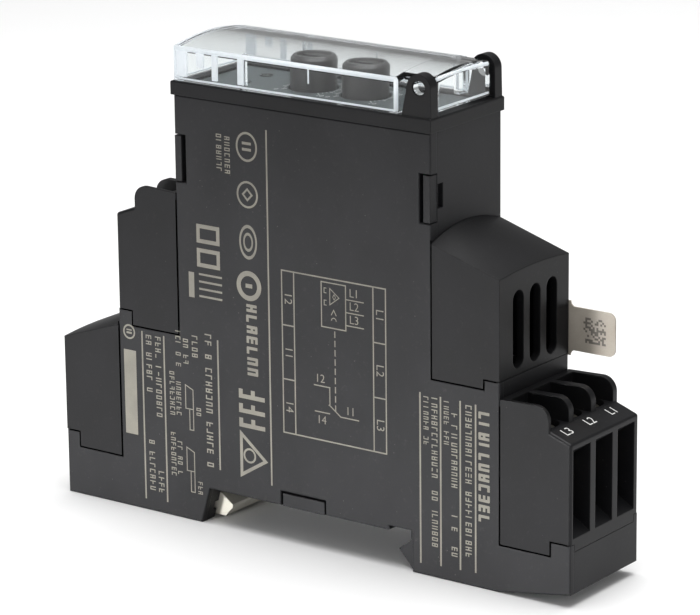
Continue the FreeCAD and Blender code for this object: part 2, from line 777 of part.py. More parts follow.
def build_front_bezel():
    bezel = body("front_bezel")
    outer_x, outer_y = bezel_span(0)
    open_x, open_y = bezel_span(bezel_overhang + wall + slide_gap + 0.8)
    pad(bezel, "XY", tower_top + seam, bezel_top, [rectangle(outer_x, outer_y)])
    skirt_x, skirt_y = bezel_span(bezel_overhang + wall + slide_gap)
    pad(bezel, "XY", tower_top - skirt_depth, tower_top + 0.5, [rectangle(skirt_x, skirt_y)])
    round_edges(bezel, edge_round, edge_on("Z", bezel_top))
    pocket(bezel, "XY", tower_top - skirt_depth - 1, bezel_top + 1, [rectangle(open_x, open_y)])
    ears = ((-half_width, -half_width + ear_thickness), (half_width - ear_thickness, half_width))
    right_foot = hinge_x + ear_radius + 0.1
    for low, high in ears:
        pad(bezel, "XZ", low, high, [[
            (hinge_x - ear_foot, bezel_top - 0.5),
            (right_foot, bezel_top - 0.5),
            (hinge_x + ear_radius, hinge_z),
            (hinge_x - ear_radius, hinge_z + 0.2),
        ]])
        pad(bezel, "XZ", low, high, circles=[(hinge_x, hinge_z, ear_radius + 0.005)])
        pocket(bezel, "XZ", low - 1, high + 1, circles=[(hinge_x, hinge_z, pin_radius + turn_gap)])


def build_front_panel():
    panel = body("front_panel")
    span_x, span_y = bezel_span(bezel_overhang + wall + slide_gap * 2 + 0.8)
    pad(panel, "XY", panel_top - panel_thickness, panel_top, [rectangle(span_x, span_y)])
    holes = [(x, 0, knob_radius + 0.3) for x in (knob_left_x, knob_right_x)]
    holes += [(light_x, y, light_radius + 0.05) for y in light_rows()]
    pocket(panel, "XY", panel_top - panel_thickness - 1, panel_top + 1, circles=holes)


def light_rows():
    return (-light_pitch / 2, light_pitch / 2)


def glass_section(half, edge_top, crown_rise, bottom):
    """Upright section of the clear cover: straight sides under a shallow arch."""
    radius = (half * half + crown_rise * crown_rise) / (crown_rise * 2)
    return [(-half, bottom), (half, bottom), (half, edge_top, radius), (-half, edge_top)]


def build_clear_cover():
    glass = body("clear_cover")
    bottom = bezel_top + seam
    edge_top = bezel_top + glass_height
    ear_inner = half_width - ear_thickness - slide_gap - 0.05
    left = -tower_left - bezel_overhang + 0.05
    end_bottom = bottom + 0.45
    pad(glass, "YZ", left, glass_end, [glass_section(half_width, edge_top, glass_arch, bottom)])
    # Notches for the ears, and a raised end so that the hinge can turn over the frame
    pocket(glass, "XY", bottom - 1, edge_top + glass_arch + 1, [
        rectangle((glass_shoulder, glass_end + 1), (-half_width - 1, -ear_inner)),
        rectangle((glass_shoulder, glass_end + 1), (ear_inner, half_width + 1)),
    ])
    free_end = edge_on("X", left)
    hinge_end = edge_on("X", glass_end)

    def end_upright(edge):
        upright = edge.BoundBox.ZLength > 2 and edge.BoundBox.YLength < 1e-3
        return upright and (free_end(edge) or hinge_end(edge))

    round_edges(glass, 0.8, end_upright)
    round_edges(glass, 0.5, lambda edge: edge.BoundBox.ZMin > edge_top.number - 0.05)
    inner_left = left + glass_wall
    pocket(glass, "YZ", inner_left, glass_shoulder - glass_wall, [
        glass_section(half_width - glass_wall, edge_top - glass_wall * 0.9,
                      glass_arch * 0.85, bottom - 1)])
    pocket(glass, "YZ", glass_shoulder - glass_wall - 1, glass_end - glass_wall, [
        glass_section(ear_inner - glass_wall, edge_top - glass_wall * 0.7,
                      glass_arch * 0.5, bottom - 1)])
    pocket(glass, "XY", bottom - 1, end_bottom, [
        rectangle((glass_shoulder, glass_end + 1), (-half_width, half_width))])
    # Pivot pins in the ears
    for low, high in ((-half_width + 0.2, -ear_inner + 0.4), (ear_inner - 0.4, half_width - 0.2)):
        pad(glass, "XZ", low, high, circles=[(hinge_x, hinge_z, pin_radius)])
    # Stiffening rib and the two latch legs of the free end
    rib_x = -11.0
    pad(glass, "YZ", rib_x - 0.35, rib_x + 0.35, [
        rectangle((-half_width + glass_wall - 0.1, -half_width + glass_wall + 0.9),
                  (bottom, edge_top - glass_wall * 0.5)),
        rectangle((half_width - glass_wall - 0.9, half_width - glass_wall + 0.1),
                  (bottom, edge_top - glass_wall * 0.5)),
    ])


def build_knobs():
    stem_bottom = front_board_z + board_thickness + 1.4
    skirt_bottom = panel_top - panel_thickness - 0.6
    for label, x in (("knob_left", knob_left_x), ("knob_right", knob_right_x)):
        knob = body(label)
        pad(knob, "XY", skirt_bottom, knob_top, circles=[(x, 0, knob_radius)])
        round_edges(knob, 0.45, edge_on("Z", knob_top), kind="Chamfer")
        pad(knob, "XY", stem_bottom, skirt_bottom + 0.1, circles=[(x, 0, knob_stem)])
        pocket(knob, "XY", knob_top - 0.35, knob_top + 1, circles=[(x, 0, knob_radius - 0.85)])
        pocket(knob, "XY", knob_top - 1.5, knob_top, [
            rectangle((x - knob_radius * 0.72, x + knob_radius * 0.72), (-0.5, 0.5))])
        arrow_tip = x + knob_radius - 0.55
        pocket(knob, "XY", knob_top - 1.5, knob_top, [[
            (arrow_tip - 1.5, -1.25), (arrow_tip, 0), (arrow_tip - 1.5, 1.25)]])


def build_front_electronics():
    base = front_board_z + board_thickness
    for label, x in (("potentiometer_left", knob_left_x), ("potentiometer_right", knob_right_x)):
        case = box(f"{label}_case", (x - 3.2, x + 3.2), (-3.3, 3.3), (base + part_stand, base + 4.4))
        bore = rod(f"{label}_bore", "Z", knob_stem + turn_gap, base + 0.9, 6, x=x)
        feet = [rod(f"{label}_foot{i}", "Z", lead_radius, front_board_z - 0.6,
                    board_thickness + 1.0, x=x + dx, y=dy)
                for i, (dx, dy) in enumerate(pot_feet())]
        node(cut(label, fuse(f"{label}_body", [case] + feet), bore), label)
    for label, y in zip(("light_pipe_power", "light_pipe_relay"), light_rows()):
        stem = rod(f"{label}_stem", "Z", light_radius, base + 1.3, panel_top + 0.1 - base - 1.3,
                   x=light_x, y=y)
        collar = rod(f"{label}_collar", "Z", light_radius + 0.4, panel_top - panel_thickness - 1.0,
                     0.9, x=light_x, y=y)
        node(fuse(label, [stem, collar]), label)
    for label, y in zip(("lamp_chip_power", "lamp_chip_relay"), light_rows()):
        node(box(label, (light_x - 0.8, light_x + 0.8), (y - 0.6, y + 0.6),
                 (base + 0.02, base + 0.9)), label)


def pot_feet():
    return ((-2.5, -2.5), (0, 2.5), (2.5, -2.5))


# ---------------------------------------------------------------- boards and components

component_leads = []


def lead(label, x, z, start):
    """Round solder lead along Y from a component into the main board; also records its hole."""
    component_leads.append((x, z))
    return rod(label, "Y", lead_radius, start, board_back + 0.15 - start, x=x, z=z)


def build_components():
    face = board_face - part_stand
    # Smoothing capacitor: can with a pressed ring near its foot
    x, z = as_size(-12.0), as_size(47.0)
    can = rod("bulk_capacitor_can", "Y", 4.0, -5.6, face + 5.6, x=x, z=z)
    ring = doc.addObject("Part::Torus", "bulk_capacitor_ring")
    ring.Radius1 = 4.15
    ring.Radius2 = 0.45
    ring.Placement = FreeCAD.Placement(Vector(), AXIS_TURN["Y"])
    place(ring, x, face - 1.6, z)
    leads = [lead(f"bulk_capacitor_lead{i}", x + dx, z, face - 0.2) for i, dx in enumerate((-1.75, 1.75))]
    node(fuse("bulk_capacitor", [cut("bulk_capacitor_necked", can, ring)] + leads), "bulk_capacitor")
    # Film capacitor: upright block
    x0, z0 = as_size(4.5), as_size(29.5)
    block = box("film_capacitor_block", (x0, x0 + 13), (-4.6, face), (z0, z0 + 6))
    soft = doc.addObject("Part::Fillet", "film_capacitor_soft")
    soft.Base = block
    doc.recompute()
    soft.Edges = [(i + 1, 0.4, 0.4) for i, edge in enumerate(block.Shape.Edges)
                  if edge.BoundBox.YMax < 0]
    leads = [lead(f"film_capacitor_lead{i}", x0 + dx, z0 + 3, face - 0.2) for i, dx in enumerate((1.5, 11.5))]
    node(fuse("film_capacitor", [soft] + leads), "film_capacitor")
    # One surge-absorbing disc for each phase
    discs = []
    for number in range(3):
        x = as_size(10.0) + number * 4.2
        discs.append(rod(f"varistor_disc{number}", "X", 3.7, x, 2.4, y=0.8, z=18.0))
        for i, dx in enumerate((0.7, 1.7)):
            z = 16.6 if i == 0 else 19.4
            discs.append(lead(f"varistor_lead{number}_{i}", x + dx, z, 3.0))
    node(fuse("surge_discs", discs), "surge_discs")
    # Dropper resistors, lying along Z
    rods = []
    for number in range(3):
        x = as_size(4.0) + number * 5.0
        y = face - 1.35
        rods.append(rod(f"resistor_body{number}", "Z", 1.2, 40.0, 6.5, x=x, y=y))
        rods.append(rod(f"resistor_wire{number}", "Z", lead_radius + 0.12, 38.4, 9.7, x=x, y=y))
        for i, z in enumerate((38.7, 47.8)):
            rods.append(lead(f"resistor_lead{number}_{i}", x, z, y))
    node(fuse("dropper_resistors", rods), "dropper_resistors")
    # Surface-mounted chips: body and two rows of legs
    for label, x, z, length, height, legs in (
            ("measuring_chip", -6.0, 29.0, 8.7, 5.0, 7), ("rectifier_chip", -18.5, 29.0, 5.0, 4.4, 2),
            ("regulator_chip", 8.5, 50.5, 6.5, 3.6, 3)):
        pieces = [box(f"{label}_case", (x, x + length), (face - 1.6, face - 0.05), (z, z + height))]
        pitch = length / legs
        for number in range(legs):
            centre = x + pitch * (number + 0.5)
            for row, (low, high) in enumerate(((z - 0.9, z + 0.2), (z + height - 0.2, z + height + 0.9))):
                pieces.append(box(f"{label}_leg{number}_{row}", (centre - 0.2, centre + 0.2),
                                  (face - 0.6, face + part_stand - 0.02), (low, high)))
        node(fuse(label, pieces), label)


link_count = 6
link_pitch = 2.54


def link_places():
    return [(number - (link_count - 1) / 2) * link_pitch - 1.0 for number in range(link_count)]


def build_board_link():
    """Angled pins that join the two boards."""
    pins = []
    link_z = front_board_z - 2.0
    link_y = board_face - 2.0
    for number, x in enumerate(link_places()):
        pins.append(box(f"link_out{number}", (x - 0.32, x + 0.32), (link_y - 0.32, board_back + 0.1),
                        (link_z - 0.32, link_z + 0.32)))
        pins.append(box(f"link_up{number}", (x - 0.32, x + 0.32), (link_y - 0.32, link_y + 0.32),
                        (link_z - 0.32, front_board_z + board_thickness + 0.8)))
    strip = box("link_strip", (link_places()[0] - 1.27, link_places()[-1] + 1.27),
                (board_face - 1.4, board_face - 0.05), (link_z - 1.27, link_z + 1.27))
    node(fuse("board_link_pins", pins + [strip]), "board_link_pins")


def build_boards():
    board = body("main_board")
    lower_x = (-shoulder_left + wall + 0.8, shoulder_right - wall - 0.8)
    tower_x = (-tower_left + wall + 0.8, tower_right - wall - 0.8)
    pad(board, "XZ", board_face, board_back, [[
        (lower_x[0], floor_top + 0.5), (lower_x[1], floor_top + 0.5),
        (lower_x[1], high_ledge_right - wall - 0.8), (tower_x[1], high_ledge_right - wall - 0.8),
        (tower_x[1], front_board_z + 3.0), (tower_x[0], front_board_z + 3.0),
        (tower_x[0], high_ledge_left - wall - 0.8), (lower_x[0], high_ledge_left - wall - 0.8),
    ]])
    holes = [(x, z, lead_hole) for x, z in component_leads + bar_leads]
    holes += [(x, front_board_z - 2.0, lead_hole + 0.12) for x in link_places()]
    pocket(board, "XZ", board_face - 1, board_back + 1, circles=holes)
    front = body("front_board")
    pad(front, "XY", front_board_z, front_board_z + board_thickness, [
        rectangle(tower_x, (cover_split + 0.8, board_face - 0.2))])
    holes = [(x, board_face - 2.0, lead_hole + 0.12) for x in link_places()]
    for knob_x in (knob_left_x, knob_right_x):
        holes += [(knob_x + dx, dy, lead_hole) for dx, dy in pot_feet()]
    pocket(front, "XY", front_board_z - 1, front_board_z + board_thickness + 1, circles=holes)


# ---------------------------------------------------------------- changeover relay on the board

def build_switching_relay():
    x0 = as_size(-17.0)
    zc = as_size(18.0)
    face = board_face - part_stand
    floor_y = face - 1.2
    coil_x = (x0 + 3.0, x0 + 12.0)
    # Base with the solder leads of coil and contacts
    base = [box("relay_base_plate", (x0, x0 + 21), (floor_y, face), (zc - 7.8, zc + 7.8))]
    for i, (dx, dz) in enumerate(((2, -6), (2, 6), (17, 6), (15, -7), (19.5, -7))):
        base.append(lead(f"relay_lead{i}", x0 + dx, zc + dz, face - 0.2))
    node(fuse("relay_base", base), "relay_base")
    shell = box("relay_cover_outer", (x0, x0 + 21), (floor_y - 9.9, floor_y - 0.05), (zc - 7.8, zc + 7.8))
    inside = box("relay_cover_inner", (x0 + 0.7, x0 + 20.3), (floor_y - 9.2, floor_y + 1),
                 (zc - 7.1, zc + 7.1))
    node(cut("relay_case", shell, inside), "relay_case")
    yc = floor_y - 4.6
    # Bobbin, winding, core and yoke
    spool = [
        rod("bobbin_tube", "X", 2.0, coil_x[0], 9.0, y=yc, z=zc),
        rod("bobbin_back", "X", 4.0, coil_x[0] - 0.8, 0.8, y=yc, z=zc),
        rod("bobbin_front", "X", 4.0, coil_x[1], 0.8, y=yc, z=zc),
    ]
    bore = rod("bobbin_bore", "X", 1.5, coil_x[0] - 2, 13, y=yc, z=zc)
    node(cut("relay_bobbin", fuse("bobbin_solid", spool), bore), "relay_bobbin")
    winding = rod("winding_outer", "X", 3.4, coil_x[0] + 0.05, 8.9, y=yc, z=zc)
    inner = rod("winding_inner", "X", 2.02, coil_x[0] - 1, 11, y=yc, z=zc)
    node(cut("relay_winding", winding, inner), "relay_winding")
    shaft = rod("core_shaft", "X", 1.45, coil_x[0] - 1.0, 11.2, y=yc, z=zc)
    pole = rod("core_pole", "X", 2.6, coil_x[1] + 0.9, 0.5, y=yc, z=zc)
    node(fuse("relay_core", [shaft, pole]), "relay_core")
    yoke = body("relay_yoke")
    pad(yoke, "XZ", yc - 3.2, yc + 3.2, [[
        (coil_x[0] - 2.1, zc - 3.8), (coil_x[0] - 1.05, zc - 3.8), (coil_x[0] - 1.05, zc + 4.2),
        (coil_x[1] + 1.3, zc + 4.2), (coil_x[1] + 1.3, zc + 5.3), (coil_x[0] - 2.1, zc + 5.3)]])
    # Armature hinged on the yoke's end, carrying the moving contact leaf
    plate_x = coil_x[1] + 1.9
    armature = body("relay_armature")
    pad(armature, "XZ", yc - 3.0, yc + 3.0, [[
        (plate_x, zc - 3.2), (plate_x + 0.9, zc - 3.2), (plate_x + 0.9, zc + 5.6), (plate_x, zc + 5.6)]])
    leaf = [
        box("leaf_strip", (plate_x + 0.95, plate_x + 1.15), (yc - 1.2, yc + 1.2), (zc - 6.6, zc + 1.0)),
        rod("leaf_button", "X", 0.8, plate_x + 0.65, 0.8, y=yc, z=zc - 5.7),
    ]
    node(fuse("relay_contact_leaf", leaf), "relay_contact_leaf")
    for label, near_x, post_x, name_x in (
            ("relay_contact_make", plate_x - 0.35, plate_x - 1.2, -1),
            ("relay_contact_break", plate_x + 1.5, plate_x + 1.9, 1)):
        post = box(f"{label}_post", (post_x, post_x + 0.5), (yc - 1.4, floor_y - 0.05), (zc - 6.8, zc - 4.6))
        tip_span = (post_x + 0.4, near_x) if name_x < 0 else (near_x, post_x + 0.1)
        button = rod(f"{label}_button", "X", 0.8, tip_span[0], as_size(tip_span[1]) - tip_span[0],
                     y=yc, z=zc - 5.7)
        node(fuse(label, [post, button]), label)


# ---------------------------------------------------------------- rail clip, spring and tag

def build_rail_clip():
    clip = body("rail_clip")
    low, high = clip_bottom, clip_bottom + clip_thickness
    nose = -rail_half + clip_nose_reach
    outer_end = -half_length + 0.8
    pad(clip, "XZ", -clip_half_width, clip_half_width, [[
        (outer_end, low), (nose - 1.5, low), (nose, low + 1.6), (nose, low + 2.1),
        (nose - 2.1, high), (outer_end, high)]])
    groove_low, groove_high = clip_groove()
    side = clip_half_width + clip_tongue
    pad(clip, "XY", groove_low, groove_high, [
        rectangle((outer_end, -rail_half - 3.5), (-side, side))])
    post_left, post_right = spring_post()
    pocket(clip, "XY", low - 1, high + 1, [
        rectangle((post_left - 0.1, post_right + spring_length), (-1.7, 1.7)),
        rectangle((outer_end + 1.4, outer_end + 4.2), (-2.2, 2.2)),
        rectangle((outer_end + 7.5, post_left - 2.5), (-4.0, -2.6)),
        rectangle((outer_end + 7.5, post_left - 2.5), (2.6, 4.0)),
    ])
    round_edges(clip, 0.3, edge_on("Z", low))

    spring = node(doc.addObject("Part::Feature", "rail_clip_spring"), "rail_clip_spring")
    wire = spring_wire_radius.number
    coil = spring_coil_radius.number
    run = spring_length.number - 4 * wire
    helix = Part.makeHelix(run / spring_turns.number, run, coil)
    start = Vector(coil, 0, 0)
    section = Part.Wire(Part.makeCircle(wire, start, Vector(0, 1, 0)))
    sweep = Part.BRepOffsetAPI.MakePipeShell(Part.Wire(helix.Edges))
    sweep.setFrenetMode(True)
    sweep.add(section)
    sweep.build()
    sweep.makeSolid()
    spring.Shape = sweep.shape()
    middle = low + clip_thickness / 2
    spring.Placement = FreeCAD.Placement(
        Vector(post_right.number + 2 * wire, 0, middle.number), AXIS_TURN["X"])


def build_side_tag():
    tag = body("side_tag")
    top = tag_bottom + tag_height
    root = shoulder_right + 0.3
    pad(tag, "XZ", half_width + 0.02, half_width + 0.02 + tag_thickness, [[
        (root - 9.0, tag_bottom - tag_flare), (root, tag_bottom - tag_flare), (root, tag_bottom),
        (tag_reach, tag_bottom), (tag_reach, top), (root, top), (root, top + tag_flare),
        (root - 9.0, top + tag_flare)]])
    for z in (tag_bottom, top):
        round_edges(tag, tag_flare - 0.05, upright_edge_at(root, z))
        round_edges(tag, tag_corner, upright_edge_at(tag_reach, z))


build_side_cover()
build_main_housing()
build_terminals()
build_blank_inserts()
build_front_bezel()
build_front_panel()
build_clear_cover()
build_knobs()
build_front_electronics()
build_components()
build_switching_relay()
build_board_link()
build_boards()
build_rail_clip()
build_side_tag()
doc.recompute()


# ---------------------------------------------------------------- checks and export

for thing in doc.Objects:
    if "Invalid" in thing.State or "Error" in thing.State:
        raise RuntimeError(f"{thing.Label} failed to build: {thing.State}")
os.makedirs("parts", exist_ok=True)
for piece in nodes:
    if piece.Shape.isNull() or not piece.Shape.isValid() or not piece.Shape.Solids:
        raise RuntimeError(f"{piece.Label} has no valid solid")
    piece.Shape.exportStep(f"parts/{piece.Label}.step")
whole = Part.makeCompound([piece.Shape for piece in nodes]).optimalBoundingBox(False)
print(f"{len(nodes)} pieces, {whole.XLength:.2f} x {whole.YLength:.2f} x {whole.ZLength:.2f} mm")
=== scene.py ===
# %% [markdown]
# # A modular monitoring relay, dressed for the studio
# The relay is a slim box for a control cabinet: it snaps on a metal rail, takes its wires in screw
# terminals at both ends, and has two setting knobs under a hinged clear cover. Its shape comes from
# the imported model. This script adds the finishes, the markings, the lights and the camera.

# %% Load the model
import json
import math

import bmesh
import bpy
from mathutils import Matrix, Vector

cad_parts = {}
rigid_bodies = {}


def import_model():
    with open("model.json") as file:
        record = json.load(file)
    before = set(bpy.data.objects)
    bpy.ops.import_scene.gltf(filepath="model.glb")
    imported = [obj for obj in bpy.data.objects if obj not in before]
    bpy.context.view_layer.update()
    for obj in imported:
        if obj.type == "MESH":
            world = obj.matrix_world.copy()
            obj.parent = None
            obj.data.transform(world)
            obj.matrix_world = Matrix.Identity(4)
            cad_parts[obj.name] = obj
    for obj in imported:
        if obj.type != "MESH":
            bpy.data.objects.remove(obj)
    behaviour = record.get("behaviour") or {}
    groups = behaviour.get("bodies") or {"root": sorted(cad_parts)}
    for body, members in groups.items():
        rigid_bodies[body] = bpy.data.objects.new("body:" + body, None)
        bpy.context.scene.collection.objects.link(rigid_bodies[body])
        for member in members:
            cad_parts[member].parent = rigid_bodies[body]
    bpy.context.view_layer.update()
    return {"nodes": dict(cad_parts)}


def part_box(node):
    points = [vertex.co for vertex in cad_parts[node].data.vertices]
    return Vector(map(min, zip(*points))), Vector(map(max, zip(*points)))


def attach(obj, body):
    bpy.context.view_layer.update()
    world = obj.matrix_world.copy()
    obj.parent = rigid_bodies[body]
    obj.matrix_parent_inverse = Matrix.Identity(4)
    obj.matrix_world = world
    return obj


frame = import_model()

mm = 0.001
nodes = frame["nodes"]

# %% [markdown]
# ## Writing shaders as sums
# A shader is a small program of nodes. It could be wired one link at a time, but then the formula
# is lost among the links. Here one output of a node is wrapped in a class that understands + - * /,
# so that `1 - mask` or `noise * 0.3` adds its own Math node. Everything else comes from one method.

# %% One value of a shader
class Value:
    """One output socket of a material's tree, with arithmetic that adds Math nodes."""

    def __init__(self, finish, socket):
        self.finish = finish
        self.socket = socket

    def maths(self, operation, first, second):
        return self.finish.add("ShaderNodeMath", {"operation": operation},
                               {"Value": first, "Value_001": second})

    def __add__(self, other):
        return self.maths("ADD", self, other)

    def __radd__(self, other):
        return self.maths("ADD", other, self)

    def __sub__(self, other):
        return self.maths("SUBTRACT", self, other)

    def __rsub__(self, other):
        return self.maths("SUBTRACT", other, self)

    def __mul__(self, other):
        return self.maths("MULTIPLY", self, other)

    def __rmul__(self, other):
        return self.maths("MULTIPLY", other, self)


# %% [markdown]
# A finish is a material whose tree begins empty. Every node is added by one method that sets its
# sockets by identifier, and the other methods are short names for the nodes used most.

# %% The tree of one finish
class Finish:
    """A material whose nodes are added one call at a time."""

    def __init__(self, name):
        self.material = bpy.data.materials.new(name)
        self.material.use_nodes = True
        self.tree = self.material.node_tree
        self.tree.nodes.clear()
        self.place = self.add("ShaderNodeTexCoord", output="Object")

    def add(self, kind, settings=None, values=None, output=None):
        """Adds a node, then its settings, then its sockets by identifier; returns one output."""
        made = self.tree.nodes.new(kind)
        for key, setting in (settings or {}).items():
            setattr(made, key, setting)
        sockets = {socket.identifier: socket for socket in made.inputs}
        for key, value in (values or {}).items():
            if isinstance(value, Value):
                self.tree.links.new(value.socket, sockets[key])
            else:
                sockets[key].default_value = value
        outputs = {socket.identifier: socket for socket in made.outputs if socket.enabled}
        if not outputs:
            return made
        return Value(self, outputs[output] if output else next(iter(outputs.values())))

    def noise(self, size, detail=2.0, rough=0.5, stretch=(1, 1, 1)):
        """Noise whose features are about `size` millimetres."""
        place = self.place
        if stretch != (1, 1, 1):
            place = self.add("ShaderNodeMapping", values={"Vector": place, "Scale": stretch})
        return self.add("ShaderNodeTexNoise", values={
            "Vector": place, "Scale": 1.0 / (size * mm), "Detail": detail,
            "Roughness": rough}, output="Fac")

    def cells(self, size):
        """Distance to the nearest of many scattered points, about `size` millimetres apart."""
        return self.add("ShaderNodeTexVoronoi", values={
            "Vector": self.place, "Scale": 1.0 / (size * mm)}, output="Distance")

    def step(self, value, low, high):
        """0 below low, 1 above high, smooth between."""
        return self.add("ShaderNodeMapRange", {"interpolation_type": "SMOOTHSTEP"},
                        {"Value": value, "From Min": low, "From Max": high}, output="Result")

    def mix(self, share, first, second):
        """Blends two colours."""
        return self.add("ShaderNodeMix", {"data_type": "RGBA"},
                        {"Factor_Float": share, "A_Color": first, "B_Color": second},
                        output="Result_Color")

    def soft_edges(self, radius):
        """A normal that turns gradually over sharp edges, as a moulded corner does."""
        return self.add("ShaderNodeBevel", {"samples": 4}, {"Radius": radius * mm}, output="Normal")

    def bump(self, height, depth, strength, under=None):
        """A normal from a height that counts for `depth` millimetres, over another normal."""
        values = {"Height": height, "Distance": depth * mm, "Strength": strength}
        if under:
            values["Normal"] = under
        return self.add("ShaderNodeBump", values=values, output="Normal")

    def surface(self, values):
        """The Principled shader with these sockets, joined to the output."""
        shader = self.add("ShaderNodeBsdfPrincipled", values=values, output="BSDF")
        self.add("ShaderNodeOutputMaterial", values={"Surface": shader})
        return self.material


def colour(red, green, blue):
    """A linear colour from the 0 to 255 values that a screen shows."""
    return tuple((part / 255) ** 2.2 for part in (red, green, blue)) + (1.0,)


print("shader helpers ready")

# %% [markdown]
# ## Moulded plastic
# The housing is glass-filled nylon from a spark-eroded mould. Up close it has a fine, even grain,
# a slow drift of shade where the melt flowed, and a little pale dust that clings to it. A flat
# grey would look like paint, so the colour, the roughness and the bump all come from noise.

# %% The plastic finish
def moulded(name, base, light, rough=(0.42, 0.58), grain=0.16, depth=0.012, dust=0.35, sheen=0.5):
    """Moulded plastic between two shades, with grain, flow marks and settled dust."""
    finish = Finish(name)
    flow = finish.noise(14, detail=3, stretch=(1, 1, 0.6))
    patch = finish.noise(3.2, detail=4, rough=0.6)
    skin = finish.noise(grain, detail=1.5)
    tone = finish.step(flow * 0.65 + patch * 0.2 + skin * 0.15, 0.3, 0.7)
    shade = finish.mix(tone, base, light)
    specks = 1 - finish.step(finish.cells(1.1), 0.035, 0.075)
    here = finish.step(finish.noise(9, detail=1), 0.5, 0.62)
    haze = finish.step(finish.noise(0.7, detail=5, rough=0.7), 0.56, 0.8)
    settled = (specks * here + haze * 0.18) * dust
    dusty = finish.mix(settled, shade, colour(176, 174, 168))
    roughness = rough[0] + (rough[1] - rough[0]) * (patch * 0.5 + skin * 0.5) + settled * 0.25
    normal = finish.bump(skin, depth, 0.5, under=finish.soft_edges(0.22))
    waves = finish.bump(flow, 0.25, 0.12, under=normal)
    return finish.surface({"Base Color": dusty, "Roughness": roughness, "Normal": waves,
                           "Specular IOR Level": sheen})


plastics = {
    "housing_plastic": moulded("housing_plastic", colour(26, 26, 28), colour(36, 36, 38),
                               dust=0.2, sheen=0.24),
    "insert_plastic": moulded("insert_plastic", colour(21, 21, 22), colour(28, 28, 30), sheen=0.2,
                              rough=(0.36, 0.5), dust=0.14),
    "panel_plastic": moulded("panel_plastic", colour(72, 78, 80), colour(84, 90, 92), dust=0.15),
    "knob_plastic": moulded("knob_plastic", colour(62, 60, 60), colour(80, 78, 77),
                            rough=(0.3, 0.45), dust=0.1),
    "natural_plastic": moulded("natural_plastic", colour(196, 192, 180), colour(214, 211, 200),
                               rough=(0.38, 0.5), dust=0.1),
    "component_black": moulded("component_black", colour(26, 26, 28), colour(38, 38, 40)),
    "potentiometer_plastic": moulded("potentiometer_plastic", colour(34, 66, 128),
                                     colour(48, 84, 150), dust=0.05),
    "relay_plastic": moulded("relay_plastic", colour(44, 58, 74), colour(58, 72, 88), dust=0.05),
    "capacitor_sleeve": moulded("capacitor_sleeve", colour(24, 26, 40), colour(36, 38, 54),
                                rough=(0.22, 0.34), dust=0.05),
    "capacitor_film": moulded("capacitor_film", colour(172, 48, 30), colour(190, 66, 44),
                              rough=(0.28, 0.4), dust=0.05),
    "varistor_lacquer": moulded("varistor_lacquer", colour(22, 62, 120), colour(36, 80, 142),
                                rough=(0.2, 0.36), dust=0.05),
    "resistor_lacquer": moulded("resistor_lacquer", colour(164, 146, 108), colour(186, 168, 128),
                                rough=(0.3, 0.42), dust=0.05),
}
print(len(plastics), "moulded finishes")

# %% [markdown]
# ## Metal
# The screws and clamps are zinc-plated steel, the strips are a copper alloy, and the magnet is
# bare iron. Plating shows fine drawn lines, faint stains and small rubbed spots. The lines are
# noise that is stretched along one axis, which gives brushed metal without any picture.

# %% The metal finish
def metal(name, base, stain, rough=(0.22, 0.42), stretch=(1, 1, 0.06), lines=0.12):
    """Plated or bare metal with drawn lines, stains and rubbed spots."""
    finish = Finish(name)
    drawn = finish.noise(lines, detail=2, stretch=stretch)
    cloud = finish.noise(1.6, detail=5, rough=0.65)
    rubbed = finish.step(finish.noise(0.45, detail=3), 0.55, 0.72)
    shade = finish.mix(finish.step(cloud, 0.35, 0.7), base, stain)
    bright = finish.mix(rubbed * 0.3, shade, colour(235, 232, 226))
    roughness = rough[0] + (rough[1] - rough[0]) * (drawn * 0.5 + cloud * 0.5)
    return finish.surface({"Base Color": bright,
                           "Metallic": 1 - finish.step(cloud, 0.72, 0.9) * 0.2,
                           "Roughness": roughness, "Normal": finish.bump(drawn, 0.006, 0.5)})


metals = {
    "screw_steel": metal("screw_steel", colour(178, 176, 170), colour(150, 146, 134)),
    "clamp_steel": metal("clamp_steel", colour(170, 166, 154), colour(146, 140, 120)),
    "spring_steel": metal("spring_steel", colour(150, 150, 150), colour(116, 116, 118)),
    "copper_alloy": metal("copper_alloy", colour(196, 158, 96), colour(168, 126, 74)),
    "solder_steel": metal("solder_steel", colour(190, 190, 188), colour(160, 160, 160)),
    "winding_copper": metal("winding_copper", colour(172, 88, 48), colour(136, 62, 34),
                            stretch=(1, 1, 0.2), lines=0.1),
    "magnet_iron": metal("magnet_iron", colour(132, 130, 128), colour(104, 100, 96)),
    "contact_alloy": metal("contact_alloy", colour(206, 186, 150), colour(180, 158, 120)),
}
print(len(metals), "metal finishes")

# %% [markdown]
# ## Clear plastic
# The hinged cover is clear polycarbonate. Light goes through it, so the shader transmits, and its
# roughness varies only a little: faint handling haze and a few hairline scratches. The light pipes
# are the same plastic with a milky tint, and the lamp chips under them are small pale blocks.

# %% The clear finish
def clear(name, tint, rough=0.03, haze=0.1):
    """Clear plastic with faint smears and hairline scratches."""
    finish = Finish(name)
    cloud = finish.noise(6, detail=4, rough=0.6)
    scratch = finish.step(finish.noise(0.5, detail=2, stretch=(0.05, 1, 1)), 0.66, 0.72)
    smear = finish.step(cloud, 0.5, 0.8) * haze
    shade = finish.mix(cloud, tint, colour(250, 252, 252))
    return finish.surface({"Base Color": shade, "Roughness": rough + smear + scratch * 0.05,
                           "Normal": finish.bump(finish.noise(11, detail=1), 0.12, 0.2),
                           "Transmission Weight": 1.0, "IOR": 1.36})


clears = {
    "clear_plastic": clear("clear_plastic", colour(244, 248, 249)),
    "light_pipe": clear("light_pipe", colour(226, 232, 224), rough=0.25),
    "lamp_chip": moulded("lamp_chip", colour(222, 222, 196), colour(238, 238, 220), dust=0.0),
}
print(len(clears), "clear finishes")

